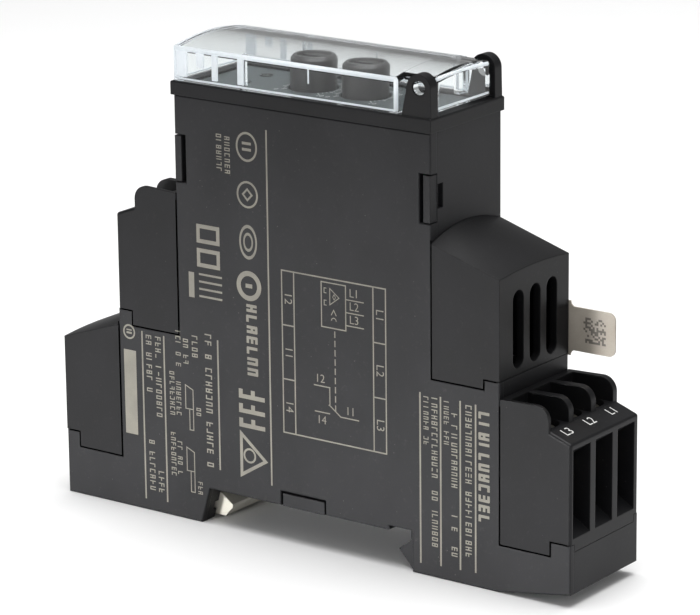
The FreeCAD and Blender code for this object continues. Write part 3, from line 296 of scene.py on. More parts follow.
# %% [markdown]
# ## Circuit board and printed film
# The boards are green lacquer over woven glass, so a fine weave shows under the gloss. The tag is
# a stiff printed film with a soft tooth. The marks on the housing are burnt in by a laser, which
# leaves a pale, slightly uneven beige that lets the dark plastic through in tiny gaps.

# %% Board, film and laser marks
def board_lacquer():
    """Green lacquer over a fine weave."""
    finish = Finish("circuit_board")
    weave = finish.noise(0.3, detail=1, stretch=(1, 1, 0.3)) + finish.noise(0.3, detail=1,
                                                                          stretch=(0.3, 1, 1))
    cloud = finish.noise(5, detail=3)
    shade = finish.mix(finish.step(weave * 0.4 + cloud * 0.2, 0.3, 0.7),
                       colour(18, 74, 44), colour(34, 98, 58))
    return finish.surface({"Base Color": shade, "Roughness": 0.22 + cloud * 0.16,
                           "Normal": finish.bump(weave, 0.01, 0.5)})


def film(name, base, light, gaps=0.0, sheen=0.5):
    """A thin printed layer; gaps is how much dark plastic shows through it."""
    finish = Finish(name)
    cloud = finish.noise(4, detail=4, rough=0.6)
    tooth = finish.noise(0.12, detail=2)
    shade = finish.mix(finish.step(cloud * 0.6 + tooth * 0.4, 0.3, 0.7), base, light)
    through = finish.step(finish.noise(0.16, detail=3, rough=0.7), 0.55, 0.8) * gaps
    printed = finish.mix(through, shade, colour(84, 84, 84))
    return finish.surface({"Base Color": printed, "Roughness": 0.5 + tooth * 0.2,
                           "Specular IOR Level": sheen,
                           "Normal": finish.bump(tooth, 0.008, 0.4)})


films = {
    "circuit_board": board_lacquer(),
    "label_film": film("label_film", colour(164, 155, 143), colour(182, 175, 164)),
}
laser_mark = film("laser_mark", colour(106, 103, 95), colour(124, 121, 110), gaps=0.4)
pale_mark = film("pale_mark", colour(200, 200, 198), colour(220, 220, 218), gaps=0.3)
soft_ink = film("soft_ink", colour(96, 92, 87), colour(114, 109, 102), gaps=0.2)
seam_shade = film("seam_shade", colour(3, 3, 3), colour(6, 6, 6), sheen=0.0)
print(len(films), "board and film finishes, 3 inks, a seam shade")

# %% [markdown]
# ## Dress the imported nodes
# Every node arrived with a slot named after its material. The shape is right, so it stays, and only
# the material in its slot changes.

# %% Swap the materials
finishes = {**plastics, **metals, **clears, **films}
for name, thing in nodes.items():
    for place in thing.material_slots:
        place.material = finishes[place.material.name.split(".")[0]]
print("dressed", len(nodes), "nodes with", len(finishes), "finishes")

# %% [markdown]
# ## Thin marks on a flat face
# A mark could be painted in the shader, but a long formula of boxes is hard to read and hard to
# move. Here a mark is a very thin solid that stands a hundredth of a millimetre proud of its face.
# A small class keeps the face's origin and directions, and adds bars, lines, rings and outlines.

# %% A pad of marks
proud = 0.012
sunk = 0.02
sharpest = 0.35  # a mitre is cut short where its corner is sharper than this


def place_piece(name, mesh, finish, body, smooth=False):
    """Makes one object of a mesh in metres, with one finish, that rides on a body."""
    mesh.materials.clear()
    mesh.materials.append(finish)
    for face in mesh.polygons:
        face.material_index = 0
        if smooth:
            face.use_smooth = True
    made = bpy.data.objects.new(name, mesh)
    bpy.context.scene.collection.objects.link(made)
    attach(made, body)
    print(name, len(mesh.polygons), "faces")


class Marks:
    """Thin closed marks on a plane; places are millimetres across and up from its origin."""

    def __init__(self, origin, across, up):
        out = Vector(across).cross(Vector(up)).normalized()
        self.grid = Matrix((*zip(across, up, out, origin), (0, 0, 0, 1)))
        self.mesh = bmesh.new()

    def outline(self, points):
        """A closed prism over points given anticlockwise."""
        low = [self.mesh.verts.new((a, u, -sunk)) for a, u in points]
        high = [self.mesh.verts.new((a, u, proud)) for a, u in points]
        self.mesh.faces.new(high)
        self.mesh.faces.new(low[::-1])
        count = len(points)
        for i in range(count):
            j = (i + 1) % count
            self.mesh.faces.new((low[i], low[j], high[j], high[i]))

    def bar(self, left, bottom, right, top):
        self.outline([(left, bottom), (right, bottom), (right, top), (left, top)])

    def line(self, start, end, width):
        """A straight stroke between two places."""
        run = Vector(end) - Vector(start)
        side = Vector((-run.y, run.x)).normalized() * width / 2
        a, b = Vector(start), Vector(end)
        self.outline([tuple(p) for p in (a - side, b - side, b + side, a + side)])

    def path(self, points, width):
        """A mitred stroke along several places, closed if it ends where it began."""
        spots = [Vector(point) for point in points]
        closed = spots[0] == spots[-1]
        if closed:
            spots = spots[:-1]
        count = len(spots)
        sides = []
        for i, spot in enumerate(spots):
            ways = []
            if closed or i > 0:
                ways.append((spot - spots[i - 1]).normalized())
            if closed or i < count - 1:
                ways.append((spots[(i + 1) % count] - spot).normalized())
            lefts = [Vector((-way.y, way.x)) for way in ways]
            mean = sum(lefts, Vector((0, 0))).normalized()
            reach = mean * width / 2 / max(sharpest, mean.dot(lefts[0]))
            sides.append((spot - reach, spot + reach))
        following = sides[1:] + sides[:1] if closed else sides[1:]
        for (right_a, left_a), (right_b, left_b) in zip(sides, following):
            self.outline([tuple(p) for p in (right_a, right_b, left_b, left_a)])

    def ring(self, centre, radius, width, squash=1.0, arc=(0, 360), steps=40):
        """An arc band, built from short four-cornered pieces."""
        turns = [math.radians(arc[0] + (arc[1] - arc[0]) * i / steps) for i in range(steps + 1)]
        inner, outer = radius - width / 2, radius + width / 2
        for a, b in zip(turns, turns[1:]):
            self.outline([
                (centre[0] + inner * math.cos(a), centre[1] + inner * math.sin(a) * squash),
                (centre[0] + outer * math.cos(a), centre[1] + outer * math.sin(a) * squash),
                (centre[0] + outer * math.cos(b), centre[1] + outer * math.sin(b) * squash),
                (centre[0] + inner * math.cos(b), centre[1] + inner * math.sin(b) * squash)])

    def absorb(self, mesh, at, turn=0.0):
        """Joins a flat mesh in millimetres, turned anticlockwise by degrees and moved."""
        mesh.transform(Matrix.Translation((*at, 0))
                       @ Matrix.Rotation(math.radians(turn), 4, "Z"))
        self.mesh.from_mesh(mesh)
        bpy.data.meshes.remove(mesh)

    def word(self, text, height, at, turn=0.0):
        """A short plain designation, centred on its place."""
        curve = bpy.data.curves.new("word", "FONT")
        curve.body = text
        curve.size = height * 1.4
        curve.align_x = curve.align_y = "CENTER"
        curve.extrude = (proud + sunk) / 2
        curve.offset = -0.008
        curve.resolution_u = 3
        holder = bpy.data.objects.new("word", curve)
        mesh = bpy.data.meshes.new_from_object(holder)
        bpy.data.objects.remove(holder)
        mesh.transform(Matrix.Translation((0, 0, (proud - sunk) / 2)))
        self.absorb(mesh, at, turn)

    def piece(self, name, finish, body):
        """Turns the marks into one object in metres that rides on a body."""
        scale = Matrix.Diagonal((mm, mm, mm, 1))
        self.mesh.transform(Matrix.Translation(self.grid.to_translation())
                            @ self.grid.to_3x3().to_4x4() @ scale)
        mesh = bpy.data.meshes.new(name)
        self.mesh.to_mesh(mesh)
        self.mesh.free()
        place_piece(name, mesh, finish, body)


print("marks stand", proud, "mm proud")

# %% [markdown]
# ## Rows of small print, by Geometry Nodes
# The real side carries several columns of small print. What they say isn't needed, only their
# rhythm: letters of even height, with gaps between words. A Geometry Nodes tree lays a line of
# points, drops some at random for the word gaps, and puts a few strokes on each of the rest.

# %% Helpers for geometry trees
class Tree:
    """A Geometry Nodes tree with named inputs."""

    def __init__(self, name, inputs):
        self.group = bpy.data.node_groups.new(name, "GeometryNodeTree")
        face = self.group.interface
        face.new_socket("Geometry", in_out="OUTPUT", socket_type="NodeSocketGeometry")
        self.ids = {}
        for label, kind in inputs.items():
            made = face.new_socket(label, in_out="INPUT", socket_type="NodeSocket" + kind)
            self.ids[label] = made.identifier
        self.entry = self.group.nodes.new("NodeGroupInput")
        self.exit = self.group.nodes.new("NodeGroupOutput")

    def given(self, label):
        return next(s for s in self.entry.outputs if s.identifier == self.ids[label])

    def add(self, kind, settings=None, values=None, output=0):
        """Adds a node, its settings and its sockets by identifier; returns an output socket."""
        made = self.group.nodes.new(kind)
        for key, setting in (settings or {}).items():
            setattr(made, key, setting)
        sockets = {socket.identifier: socket for socket in made.inputs}
        for key, value in (values or {}).items():
            links = value if isinstance(value, list) else [value]
            for link in links:
                if isinstance(link, bpy.types.NodeSocket):
                    self.group.links.new(link, sockets[key])
                else:
                    sockets[key].default_value = link
        return made.outputs[output]

    def finish(self, geometry, material):
        """Realize Instances, Set Material, and the end of the tree."""
        real = self.add("GeometryNodeRealizeInstances", values={"Geometry": geometry})
        done = self.add("GeometryNodeSetMaterial", values={"Geometry": real, "Material": material})
        self.group.links.new(done, self.exit.inputs[0])

    def make(self, values):
        """Runs the tree with these inputs and returns a plain mesh."""
        holder = bpy.data.objects.new("holder", bpy.data.meshes.new("holder"))
        bpy.context.scene.collection.objects.link(holder)
        modifier = holder.modifiers.new("tree", "NODES")
        modifier.node_group = self.group
        for label, value in values.items():
            modifier[self.ids[label]] = value
        bpy.context.view_layer.update()
        made = bpy.data.meshes.new_from_object(holder.evaluated_get(
            bpy.context.evaluated_depsgraph_get()))
        bpy.data.objects.remove(holder)
        return made


print("tree helper ready")

# %% [markdown]
# Each letter place gets up to five strokes: two uprights and three crossbars. Each kind of
# stroke has its own chance of being drawn, and is a little thinner than the one before, so that
# strokes which cross never share a face.

# %% The print row tree
def print_row_tree():
    """Letters of three kinds of stroke on a line of points, with gaps."""
    tree = Tree("print_row", {"Letters": "Int", "Pitch": "Float", "Height": "Float",
                              "Stroke": "Float", "Gaps": "Float", "Seed": "Int",
                              "Material": "Material"})
    step = tree.add("ShaderNodeCombineXYZ", values={"X": tree.given("Pitch")})
    line = tree.add("GeometryNodeMeshLine", values={"Count": tree.given("Letters"), "Offset": step})
    gap = tree.add("FunctionNodeRandomValue", {"data_type": "BOOLEAN"},
                   {"Probability": tree.given("Gaps"), "Seed": tree.given("Seed")}, output=3)
    places = tree.add("GeometryNodeDeleteGeometry", {"domain": "POINT"},
                      {"Geometry": line, "Selection": gap})
    wide = tree.add("ShaderNodeMath", {"operation": "MULTIPLY"},
                    {"Value": tree.given("Pitch"), "Value_001": 0.62})
    parts = []
    thick, layer_drop = proud + sunk, 0.0015
    strokes = (
        (tree.given("Stroke"), tree.given("Height"), -0.22, 0.0, 0.95, 0),
        (tree.given("Stroke"), tree.given("Height"), 0.22, 0.0, 0.5, 1),
        (wide, tree.given("Stroke"), 0.0, 0.42, 0.55, 2),
        (wide, tree.given("Stroke"), 0.0, 0.0, 0.4, 3),
        (wide, tree.given("Stroke"), 0.0, -0.42, 0.5, 4),
    )
    for width, height, across, up, chance, number in strokes:
        layer = thick - number * layer_drop
        size = tree.add("ShaderNodeCombineXYZ", values={"X": width, "Y": height, "Z": layer})
        block = tree.add("GeometryNodeMeshCube", values={"Size": size})
        seed = tree.add("ShaderNodeMath", {"operation": "ADD"},
                        {"Value": tree.given("Seed"), "Value_001": float(number + 1)})
        used = tree.add("FunctionNodeRandomValue", {"data_type": "BOOLEAN"},
                        {"Probability": chance, "Seed": seed}, output=3)
        left = tree.add("ShaderNodeMath", {"operation": "MULTIPLY"},
                        {"Value": tree.given("Pitch"), "Value_001": across})
        high = tree.add("ShaderNodeMath", {"operation": "MULTIPLY"},
                        {"Value": tree.given("Height"), "Value_001": up})
        where = tree.add("ShaderNodeCombineXYZ", values={"X": left, "Y": high,
                                                         "Z": (proud - sunk) / 2})
        shifted = tree.add("GeometryNodeSetPosition", values={"Geometry": places, "Offset": where})
        parts.append(tree.add("GeometryNodeInstanceOnPoints",
                              values={"Points": shifted, "Selection": used, "Instance": block}))
    joined = tree.add("GeometryNodeJoinGeometry", values={"Geometry": parts})
    tree.finish(joined, tree.given("Material"))
    return tree


row_tree = print_row_tree()


def print_row(marks, start, length, height, seed, turn=-90.0, gaps=0.12, weight=0.16):
    """Adds one row of stand-in print that begins at a place and reads along its turn."""
    pitch = height * 0.86
    made = row_tree.make({"Letters": max(2, int(length / pitch)), "Pitch": pitch, "Height": height,
                          "Stroke": height * weight, "Gaps": gaps, "Seed": seed,
                          "Material": laser_mark})
    marks.absorb(made, start, turn)


print("print row tree has", len(row_tree.group.nodes), "nodes")

# %% [markdown]
# ## The side's rules and wiring diagram
# The near side is laid out like the real one: long thin rules that run down the face, a wiring
# diagram in a frame with a terminal strip at each side, and columns of small print between. The
# terminal numbers are plain designations, so they stay. Everything that is a maker's or a test
# house's sign becomes a plain ring, bar or frame.

# %% Rules and wiring diagram
side_low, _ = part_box("side_cover")
side = Marks((0, side_low.y, 0), (1, 0, 0), (0, 0, 1))
rule = 0.26
side.bar(-6.48, 8.2, -6.48 + rule, 61.1)
for x, low, high in ((-30.1, 1.7, 27.7), (-26.0, 1.9, 27.6), (-15.95, 8.8, 28.6),
                     (19.82, 1.7, 27.0), (23.3, 1.9, 26.9), (26.62, 2.0, 26.9), (29.2, 2.1, 26.8)):
    side.bar(x, low, x + rule, high)

thin = 0.2
left, right, low, high = -4.0, 14.15, 16.8, 41.0
strip = 2.15
side.path([(left, low), (right, low), (right, high), (left, high), (left, low)], thin)
for x in (left + strip, right - strip):
    side.line((x, low), (x, high), thin)
for third in (1, 2):
    z = low + (high - low) * third / 3
    side.line((left, z), (left + strip, z), thin)
    side.line((right - strip, z), (right, z), thin)
print("rules and frame drawn")

# %% [markdown]
# Inside the frame stand a measuring block with its three leads, a dashed line of action and the
# changeover contact that it moves.

# %% Symbols of the diagram
side.path([(3.0, 33.8), (7.25, 33.8), (7.25, 40.4), (3.0, 40.4), (3.0, 33.8)], 0.17)
side.path([(4.5, 39.6), (4.5, 37.2), (6.1, 38.4), (4.5, 39.6)], 0.13)
side.path([(5.0, 38.4), (5.25, 38.0), (5.5, 38.4), (5.25, 38.8), (5.0, 38.4)], 0.1)
side.path([(4.7, 35.7), (5.15, 36.5), (5.6, 35.7)], 0.13)
side.ring((5.15, 34.9), 0.42, 0.13, arc=(0, 180), steps=12)
for z in (39.2, 37.4):
    side.path([(3.9, z - 0.35), (3.5, z - 0.35), (3.5, z + 0.35), (3.9, z + 0.35)], 0.13)
for z in (38.4, 36.5, 34.6):
    side.line((7.25, z), (10.4, z), 0.16)
dash, gap = 0.95, 0.42
z = 33.4
while z > 21.2:
    side.line((5.3, z), (5.3, z - dash), 0.18)
    z -= dash + gap
side.path([(1.5, 24.9), (4.3, 24.9), (4.3, 22.4), (4.1, 22.2)], 0.17)
side.line((1.6, 21.0), (4.3, 21.0), 0.17)
side.path([(4.2, 22.3), (6.2, 20.85), (9.4, 20.85)], 0.17)
for text, place in (("L1", (8.7, 39.4)), ("L2", (8.7, 37.45)), ("L3", (8.7, 35.5)),
                    ("12", (2.6, 25.95)), ("14", (2.8, 19.8)), ("11", (7.9, 21.9))):
    side.word(text, 1.25, place)
cell = (high - low) / 3
for number, (near, far) in enumerate((("12", "L1"), ("11", "L2"), ("14", "L3"))):
    z = high - cell * (number + 0.5)
    side.word(near, 1.35, (left + strip / 2, z), -90)
    side.word(far, 1.35, (right - strip / 2, z), -90)
print("diagram drawn")

# %% [markdown]
# The columns of small print read downwards. Each row is given by its place across, the height
# where it starts, its length and the height of its letters. Its number seeds its strokes.

# %% Columns of small print
rows = (
    (20.95, 26.3, 8.0, 0.85), (22.4, 26.3, 12.2, 1.0), (22.4, 12.6, 9.2, 1.0),
    (24.4, 26.2, 6.6, 0.85), (25.75, 24.6, 11.6, 1.0), (25.75, 9.6, 2.8, 1.0),
    (25.75, 5.8, 3.2, 1.0), (28.15, 26.2, 23.0, 1.05),
    (-27.0, 27.0, 13.6, 1.05), (-28.75, 27.0, 11.0, 1.05), (-26.95, 6.2, 4.4, 1.05),
    (-28.6, 10.8, 8.2, 1.05), (-17.6, 28.9, 21.0, 1.2), (-20.1, 29.2, 5.0, 1.05),
    (-21.8, 28.4, 5.6, 0.95), (-23.2, 28.6, 6.4, 0.95), (-23.3, 20.8, 6.0, 0.9),
    (-24.5, 22.2, 7.4, 0.9), (-23.3, 11.6, 6.0, 0.9), (-24.5, 12.8, 7.4, 0.9),
)
for seed, (x, z, length, height) in enumerate(rows):
    print_row(side, (x, z), length, height, seed * 7 + 3)
print_row(side, (30.75, 25.4), 17.8, 1.75, 5, gaps=0.0, weight=0.24)
print_row(side, (-13.4, 59.0), 6.0, 0.95, 91)
print_row(side, (-14.9, 59.2), 6.4, 0.95, 92)
print_row(side, (-9.5, 34.4), 12.4, 1.85, 93, gaps=0.1, weight=0.24)
print(len(rows), "small rows, 2 rows at the top and 2 headings")

# %% [markdown]
# Signs of makers and test houses are left out. Plain rings, a diamond, frames and bars of the
# same size stand in their places, so that the face is as busy as the real one.

# %% Stand-in signs
side.bar(-33.5, 11.4, -31.2, 24.4)
side.ring((-32.4, 27.2), 1.0, 0.26)
side.bar(-32.9, 26.9, -31.9, 27.2)
side.bar(-32.9, 27.4, -31.9, 27.6)
for z, radius, tall in ((58.2, 1.75, 1.15), (51.2, 1.75, 1.05), (44.2, 1.45, 1.6)):
    side.ring((-9.9, z), radius, 0.3, squash=tall)
side.bar(-10.7, 57.6, -9.1, 58.0)
side.bar(-10.7, 58.5, -9.1, 58.9)
side.path([(-10.7, 51.2), (-9.9, 52.0), (-9.1, 51.2), (-9.9, 50.4), (-10.7, 51.2)], 0.28)
side.ring((-9.9, 44.2), 0.75, 0.26, squash=1.6)
side.ring((-9.9, 37.7), 1.85, 0.75)
side.bar(-10.5, 37.4, -9.3, 38.0)
for z in (20.9, 18.7, 16.5):
    side.bar(-12.1, z - 0.3, -7.4, z + 0.35)
    side.bar(-12.1, z + 0.35, -11.4, z + 1.1)
    side.bar(-9.9, z + 0.35, -9.2, z + 1.1)
side.path([(-11.8, 15.2), (-7.4, 11.6), (-11.8, 8.9), (-11.8, 15.2)], 0.5)
side.ring((-10.3, 12.0), 1.0, 0.3)
for z in (44.2, 40.6):
    side.path([(-19.0, z - 1.1), (-15.4, z - 1.1), (-15.4, z + 1.1), (-19.0, z + 1.1),
               (-19.0, z - 1.1)], 0.6)
side.bar(-20.9, 34.4, -19.9, 38.2)
for z in (34.8, 35.9, 37.0, 38.1):
    side.line((-19.0, z), (-14.8, z), 0.3)
for z, drop in ((17.0, 0.0), (7.4, 1.8)):
    side.path([(-22.0, z + 3.8), (-20.6, z + 3.2), (-20.6, z + 0.2), (-22.0, z + 0.2),
               (-22.0, z + 3.8)], 0.15)
    side.path([(-21.3, z + 0.1), (-21.3, z - 3.0), (-20.6, z - 3.0), (-20.6, z + 0.1)], 0.15)
    print_row(side, (-19.6, z - drop + 0.4), 2.6, 0.85, int(z))
side.piece("side_marks", laser_mark, "housing")

# %% [markdown]
# ## Seams round the inserts
# Four inserts fill the steps of the housing. A thin dark line stands in for the shadow in the joint
# round each one: down its inner edge, along its ledge, and over the notch at its outer end.

# %% Seam lines
seam_width, under_crown, before_corner = 0.2, 1.2, 0.5
seams = Marks((0, side_low.y, 0), (1, 0, 0), (0, 0, 1))
for name, way, notch, sill in (
        ("terminal_block_supply", 1, 3.3, 9.15), ("blank_cover_upper", 1, 2.6, 30.6),
        ("terminal_block_contacts", -1, 2.6, 30.5), ("blank_cover_lower", -1, 2.5, 9.9)):
    box_low, box_high = (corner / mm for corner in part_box(name))
    inner, outer = (box_low.x, box_high.x) if way > 0 else (box_high.x, box_low.x)
    step = outer - notch * way
    seams.path([(inner, box_high.z - under_crown), (inner, box_low.z), (step, box_low.z),
                (step, sill), (outer - before_corner * way, sill)], seam_width)
seams.piece("side_seams", seam_shade, "housing")

# %% [markdown]
# ## Terminal numbers
# Each row of terminals has its numbers on the sloped strip over its driver wells. The slope is a
# plane of its own: it faces outward and up, and its letters read from the end of the relay.

# %% Find the slope and number it
def slope_of(name, outward):
    """Middle and upward direction of a block's widest flat face that looks outward and up."""
    shape = nodes[name].data
    middle = sum(corner.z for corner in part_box(name)) / 2
    groups = {}
    for face in shape.polygons:
        leans, rises = face.normal.x * outward > 0.12, face.normal.z > 0.6
        if face.center.z > middle and leans and rises:
            key = tuple(round(part, 2) for part in face.normal)
            groups.setdefault(key, []).append(face)
    widest = max(groups.values(), key=lambda faces: sum(face.area for face in faces))
    corners = [shape.vertices[i].co for face in widest for i in face.vertices]
    lows = [min(corner[axis] for corner in corners) for axis in range(3)]
    highs = [max(corner[axis] for corner in corners) for axis in range(3)]
    rise = Vector((-outward * (highs[0] - lows[0]), 0, highs[2] - lows[2])).normalized()
    return (Vector(lows) + Vector(highs)) / 2, rise


above_middle = 0.4
for way, block, outward, words in (
        ("supply", "terminal_block_supply", 1, ("L3", "L2", "L1")),
        ("contact", "terminal_block_contacts", -1, ("14", "11", "12"))):
    centre, rise = slope_of(block, outward)
    centre += rise * above_middle * mm
    numbers = Marks((centre.x, 0, centre.z), (0, outward, 0), rise)
    for number, text in enumerate(words, 1):
        low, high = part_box(f"{way}_screw_{number}")
        numbers.word(text, 1.5, ((low.y + high.y) / 2 / mm * outward, 0))
    numbers.piece(f"{way}_numbers", pale_mark, "housing")

# %% [markdown]
# ## Scale rings on the front panel
# Each knob turns inside a ring of fine ticks. The ticks repeat, so they are a Geometry Nodes tree:
# points on an arc, each with one small bar turned to face the centre.

# %% The tick tree
def tick_tree():
    tree = Tree("ticks", {"Count": "Int", "Radius": "Float", "Length": "Float", "Width": "Float",
                          "Start": "Float", "Sweep": "Float", "Material": "Material"})
    line = tree.add("GeometryNodeMeshLine", values={"Count": tree.given("Count"),
                                                    "Offset": (0.0, 0.0, 0.0)})
    index = tree.add("GeometryNodeInputIndex")
    less = tree.add("ShaderNodeMath", {"operation": "SUBTRACT"},
                    {"Value": tree.given("Count"), "Value_001": 1.0})
    share = tree.add("ShaderNodeMath", {"operation": "DIVIDE"}, {"Value": index, "Value_001": less})
    part = tree.add("ShaderNodeMath", {"operation": "MULTIPLY"},
                    {"Value": share, "Value_001": tree.given("Sweep")})
    angle = tree.add("ShaderNodeMath", {"operation": "ADD"},
                     {"Value": part, "Value_001": tree.given("Start")})
    cosine = tree.add("ShaderNodeMath", {"operation": "COSINE"}, {"Value": angle})
    sine = tree.add("ShaderNodeMath", {"operation": "SINE"}, {"Value": angle})
    ray = tree.add("ShaderNodeCombineXYZ", values={"X": cosine, "Y": sine})
    out = tree.add("ShaderNodeVectorMath", {"operation": "SCALE"},
                   {"Vector": ray, "Scale": tree.given("Radius")})
    lift = tree.add("ShaderNodeVectorMath", {"operation": "ADD"},
                    {"Vector": out, "Vector_001": (0, 0, (proud - sunk) / 2)})
    placed = tree.add("GeometryNodeSetPosition", values={"Geometry": line, "Offset": lift})
    size = tree.add("ShaderNodeCombineXYZ", values={"X": tree.given("Length"),
                                                    "Y": tree.given("Width"), "Z": proud + sunk})
    block = tree.add("GeometryNodeMeshCube", values={"Size": size})
    turn = tree.add("ShaderNodeCombineXYZ", values={"Z": angle})
    ticks = tree.add("GeometryNodeInstanceOnPoints",
                     values={"Points": placed, "Instance": block, "Rotation": turn})
    tree.finish(ticks, tree.given("Material"))
    return tree


ticks = tick_tree()
print("tick tree has", len(ticks.group.nodes), "nodes")

# %% [markdown]
# Around each knob go thirty-one short ticks and eleven long ones, and the plain numbers 0, 5
# and 10.

# %% Panel marks
_, panel_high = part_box("front_panel")
panel = Marks((0, 0, panel_high.z), (1, 0, 0), (0, 1, 0))
for name in ("knob_left", "knob_right"):
    knob_low, knob_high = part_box(name)
    centre = ((knob_low.x + knob_high.x) / 2 / mm, 0)
    radius = (knob_high.x - knob_low.x) / 2 / mm
    ring_gap = 0.5
    for count, length, width in ((31, 0.45, 0.1), (11, 0.8, 0.16)):
        made = ticks.make({
            "Count": count, "Radius": radius + ring_gap + length / 2, "Length": length,
            "Width": width, "Start": math.radians(-45), "Sweep": math.radians(270),
            "Material": pale_mark})
        panel.absorb(made, centre)
    first_angle, angle_step, number_radius = 225, 27, radius + 2.1
    for number in range(0, 11, 5):
        angle = math.radians(first_angle - angle_step * number)
        place = (centre[0] + number_radius * math.cos(angle), number_radius * math.sin(angle))
        panel.word(str(number), 0.9, place)
panel.piece("panel_marks", pale_mark, "housing")

# %% [markdown]
# ## Code patch on the tag
# The tag carries a square patch of small dark cells. The patch here is a plain random pattern that
# reads as nothing: a grid of points, half of them dropped, and a square on each of the rest.

# %% The patch tree
def patch_tree():
    tree = Tree("patch", {"Cells": "Int", "Side": "Float", "Filled": "Float", "Seed": "Int",
                          "Material": "Material"})
    grid = tree.add("GeometryNodeMeshGrid", values={
        "Size X": tree.given("Side"), "Size Y": tree.given("Side"),
        "Vertices X": tree.given("Cells"), "Vertices Y": tree.given("Cells")})
    keep = tree.add("FunctionNodeRandomValue", {"data_type": "BOOLEAN"},
                    {"Probability": tree.given("Filled"), "Seed": tree.given("Seed")}, output=3)
    less = tree.add("ShaderNodeMath", {"operation": "SUBTRACT"},
                    {"Value": tree.given("Cells"), "Value_001": 1.0})
    pitch = tree.add("ShaderNodeMath", {"operation": "DIVIDE"},
                     {"Value": tree.given("Side"), "Value_001": less})
    size = tree.add("ShaderNodeCombineXYZ", values={"X": pitch, "Y": pitch, "Z": proud + sunk})
    block = tree.add("GeometryNodeMeshCube", values={"Size": size})
    squares = tree.add("GeometryNodeInstanceOnPoints",
                       values={"Points": grid, "Selection": keep, "Instance": block})
    tree.finish(squares, tree.given("Material"))
    return tree


tag_low, tag_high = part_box("side_tag")
tag = Marks((tag_low.x, tag_low.y, (tag_low.z + tag_high.z) / 2), (1, 0, 0), (0, 0, 1))
reach, patch_side = (tag_high.x - tag_low.x) / mm, 3.4
patch = patch_tree().make({"Cells": 12, "Side": patch_side, "Filled": 0.5, "Seed": 4,
                           "Material": soft_ink})
tag.absorb(patch, (reach - patch_side, 0.1))
tag.piece("tag_patch", soft_ink, "housing")

# %% [markdown]
# ## Painted glints in the clear cover
# Clear plastic pipes light to its edges, so a real cover shows bright lines: along its lower rim,
# its roof edge, its corners, its inner ribs and its latch legs. A path tracer with few samples
# loses them. Slim rods just inside the walls paint them back as highlights: a near-white finish
# that glows faintly, on curves with a round section that are turned into one closed mesh and ride
# on the cover.

# %% Glowing near-white finish for painted glints, and a rod maker
glint_glow_tree = Finish("glowing_glint_finish")
veil = glint_glow_tree.noise(1.5, detail=3)
# Painted highlight: a near-white colour with a faint glow, though there is no lamp in the cover.
glowing_glint_finish = glint_glow_tree.surface({
    "Base Color": glint_glow_tree.mix(veil, colour(236, 240, 244), colour(252, 253, 254)),
    "Roughness": 0.25 + veil * 0.2, "Normal": glint_glow_tree.bump(veil, 0.02, 0.3), "Alpha": 0.75,
    "Emission Color": (0.9, 0.95, 1.0, 1), "Emission Strength": 0.28})


def rods(name, paths, body, finish):
    """Round rods along paths of millimetre places; each path is (radius, places)."""
    curve = bpy.data.curves.new(name, "CURVE")
    curve.dimensions = "3D"
    curve.bevel_mode = "ROUND"
    curve.bevel_depth = mm
    curve.bevel_resolution = 2
    curve.use_fill_caps = True
    for radius, places in paths:
        spline = curve.splines.new("POLY")
        spline.points.add(len(places) - 1)
        for point, spot in zip(spline.points, places):
            point.co = (*(part * mm for part in spot), 1)
            point.radius = radius
    holder = bpy.data.objects.new(name, curve)
    mesh = bpy.data.meshes.new_from_object(holder)
    bpy.data.objects.remove(holder)
    shape = bmesh.new()
    shape.from_mesh(mesh)
    bmesh.ops.remove_doubles(shape, verts=shape.verts, dist=1e-7)
    bmesh.ops.recalc_face_normals(shape, faces=shape.faces)
    shape.to_mesh(mesh)
    shape.free()
    place_piece(name, mesh, finish, body, smooth=True)


# %% [markdown]
# The lines follow the cover's own box: a rim, a roof edge and three posts on each side, and an
# arch and a rim at each end.

# %% The lines
cover_low, cover_high = (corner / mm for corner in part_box("clear_cover"))
wall_y = 8.32
roof_z = cover_high.z - 1.32
rim_z = cover_low.z + 0.3
near_end, ear_end = cover_low.x + 0.42, 15.85
hinge_x, hinge_y = cover_high.x - 0.45, 6.2


def arch(x, reach, crown, foot):
    """Places across the cover at one station, along the underside of its arch."""
    shares = [i / 12 * 2 - 1 for i in range(13)]
    return [(x, reach * share, foot + (crown - foot) * (1 - share * share)) for share in shares]


paths = []
for y in (-wall_y, wall_y):
    paths += [(0.15, [(near_end, y, rim_z), (ear_end, y, rim_z)]),
              (0.3, [(near_end, y, roof_z), (ear_end, y, roof_z)]),
              (0.22, [(near_end, y, rim_z), (near_end, y, roof_z)]),
              (0.25, [(ear_end, y, rim_z), (ear_end, y, roof_z)]),
              (0.14, [(1.0, y, rim_z + 2.0), (1.0, y, roof_z)])]
paths += [(0.24, arch(near_end, wall_y, cover_high.z - 0.5, roof_z)),
          (0.15, [(near_end, -wall_y, rim_z), (near_end, wall_y, rim_z)]),
          (0.22, arch(hinge_x, hinge_y, cover_high.z - 0.75, roof_z + 0.25)),
          (0.18, [(hinge_x, -hinge_y, rim_z + 0.5), (hinge_x, hinge_y, rim_z + 0.5)])]
# These rods are painted glints that stand in for the bright edge highlights of the cover.
rods("cover_painted_glints", paths, "cover", glowing_glint_finish)

# %% [markdown]
# ## Latch legs of the clear cover
# At its free end the cover has flat legs that spring outward and snap under the frame. They are
# thicker than the wall, and they wear the near-white, faintly glowing finish of the rods, a painted
# highlight. Each is a flat plate with rounded edges.

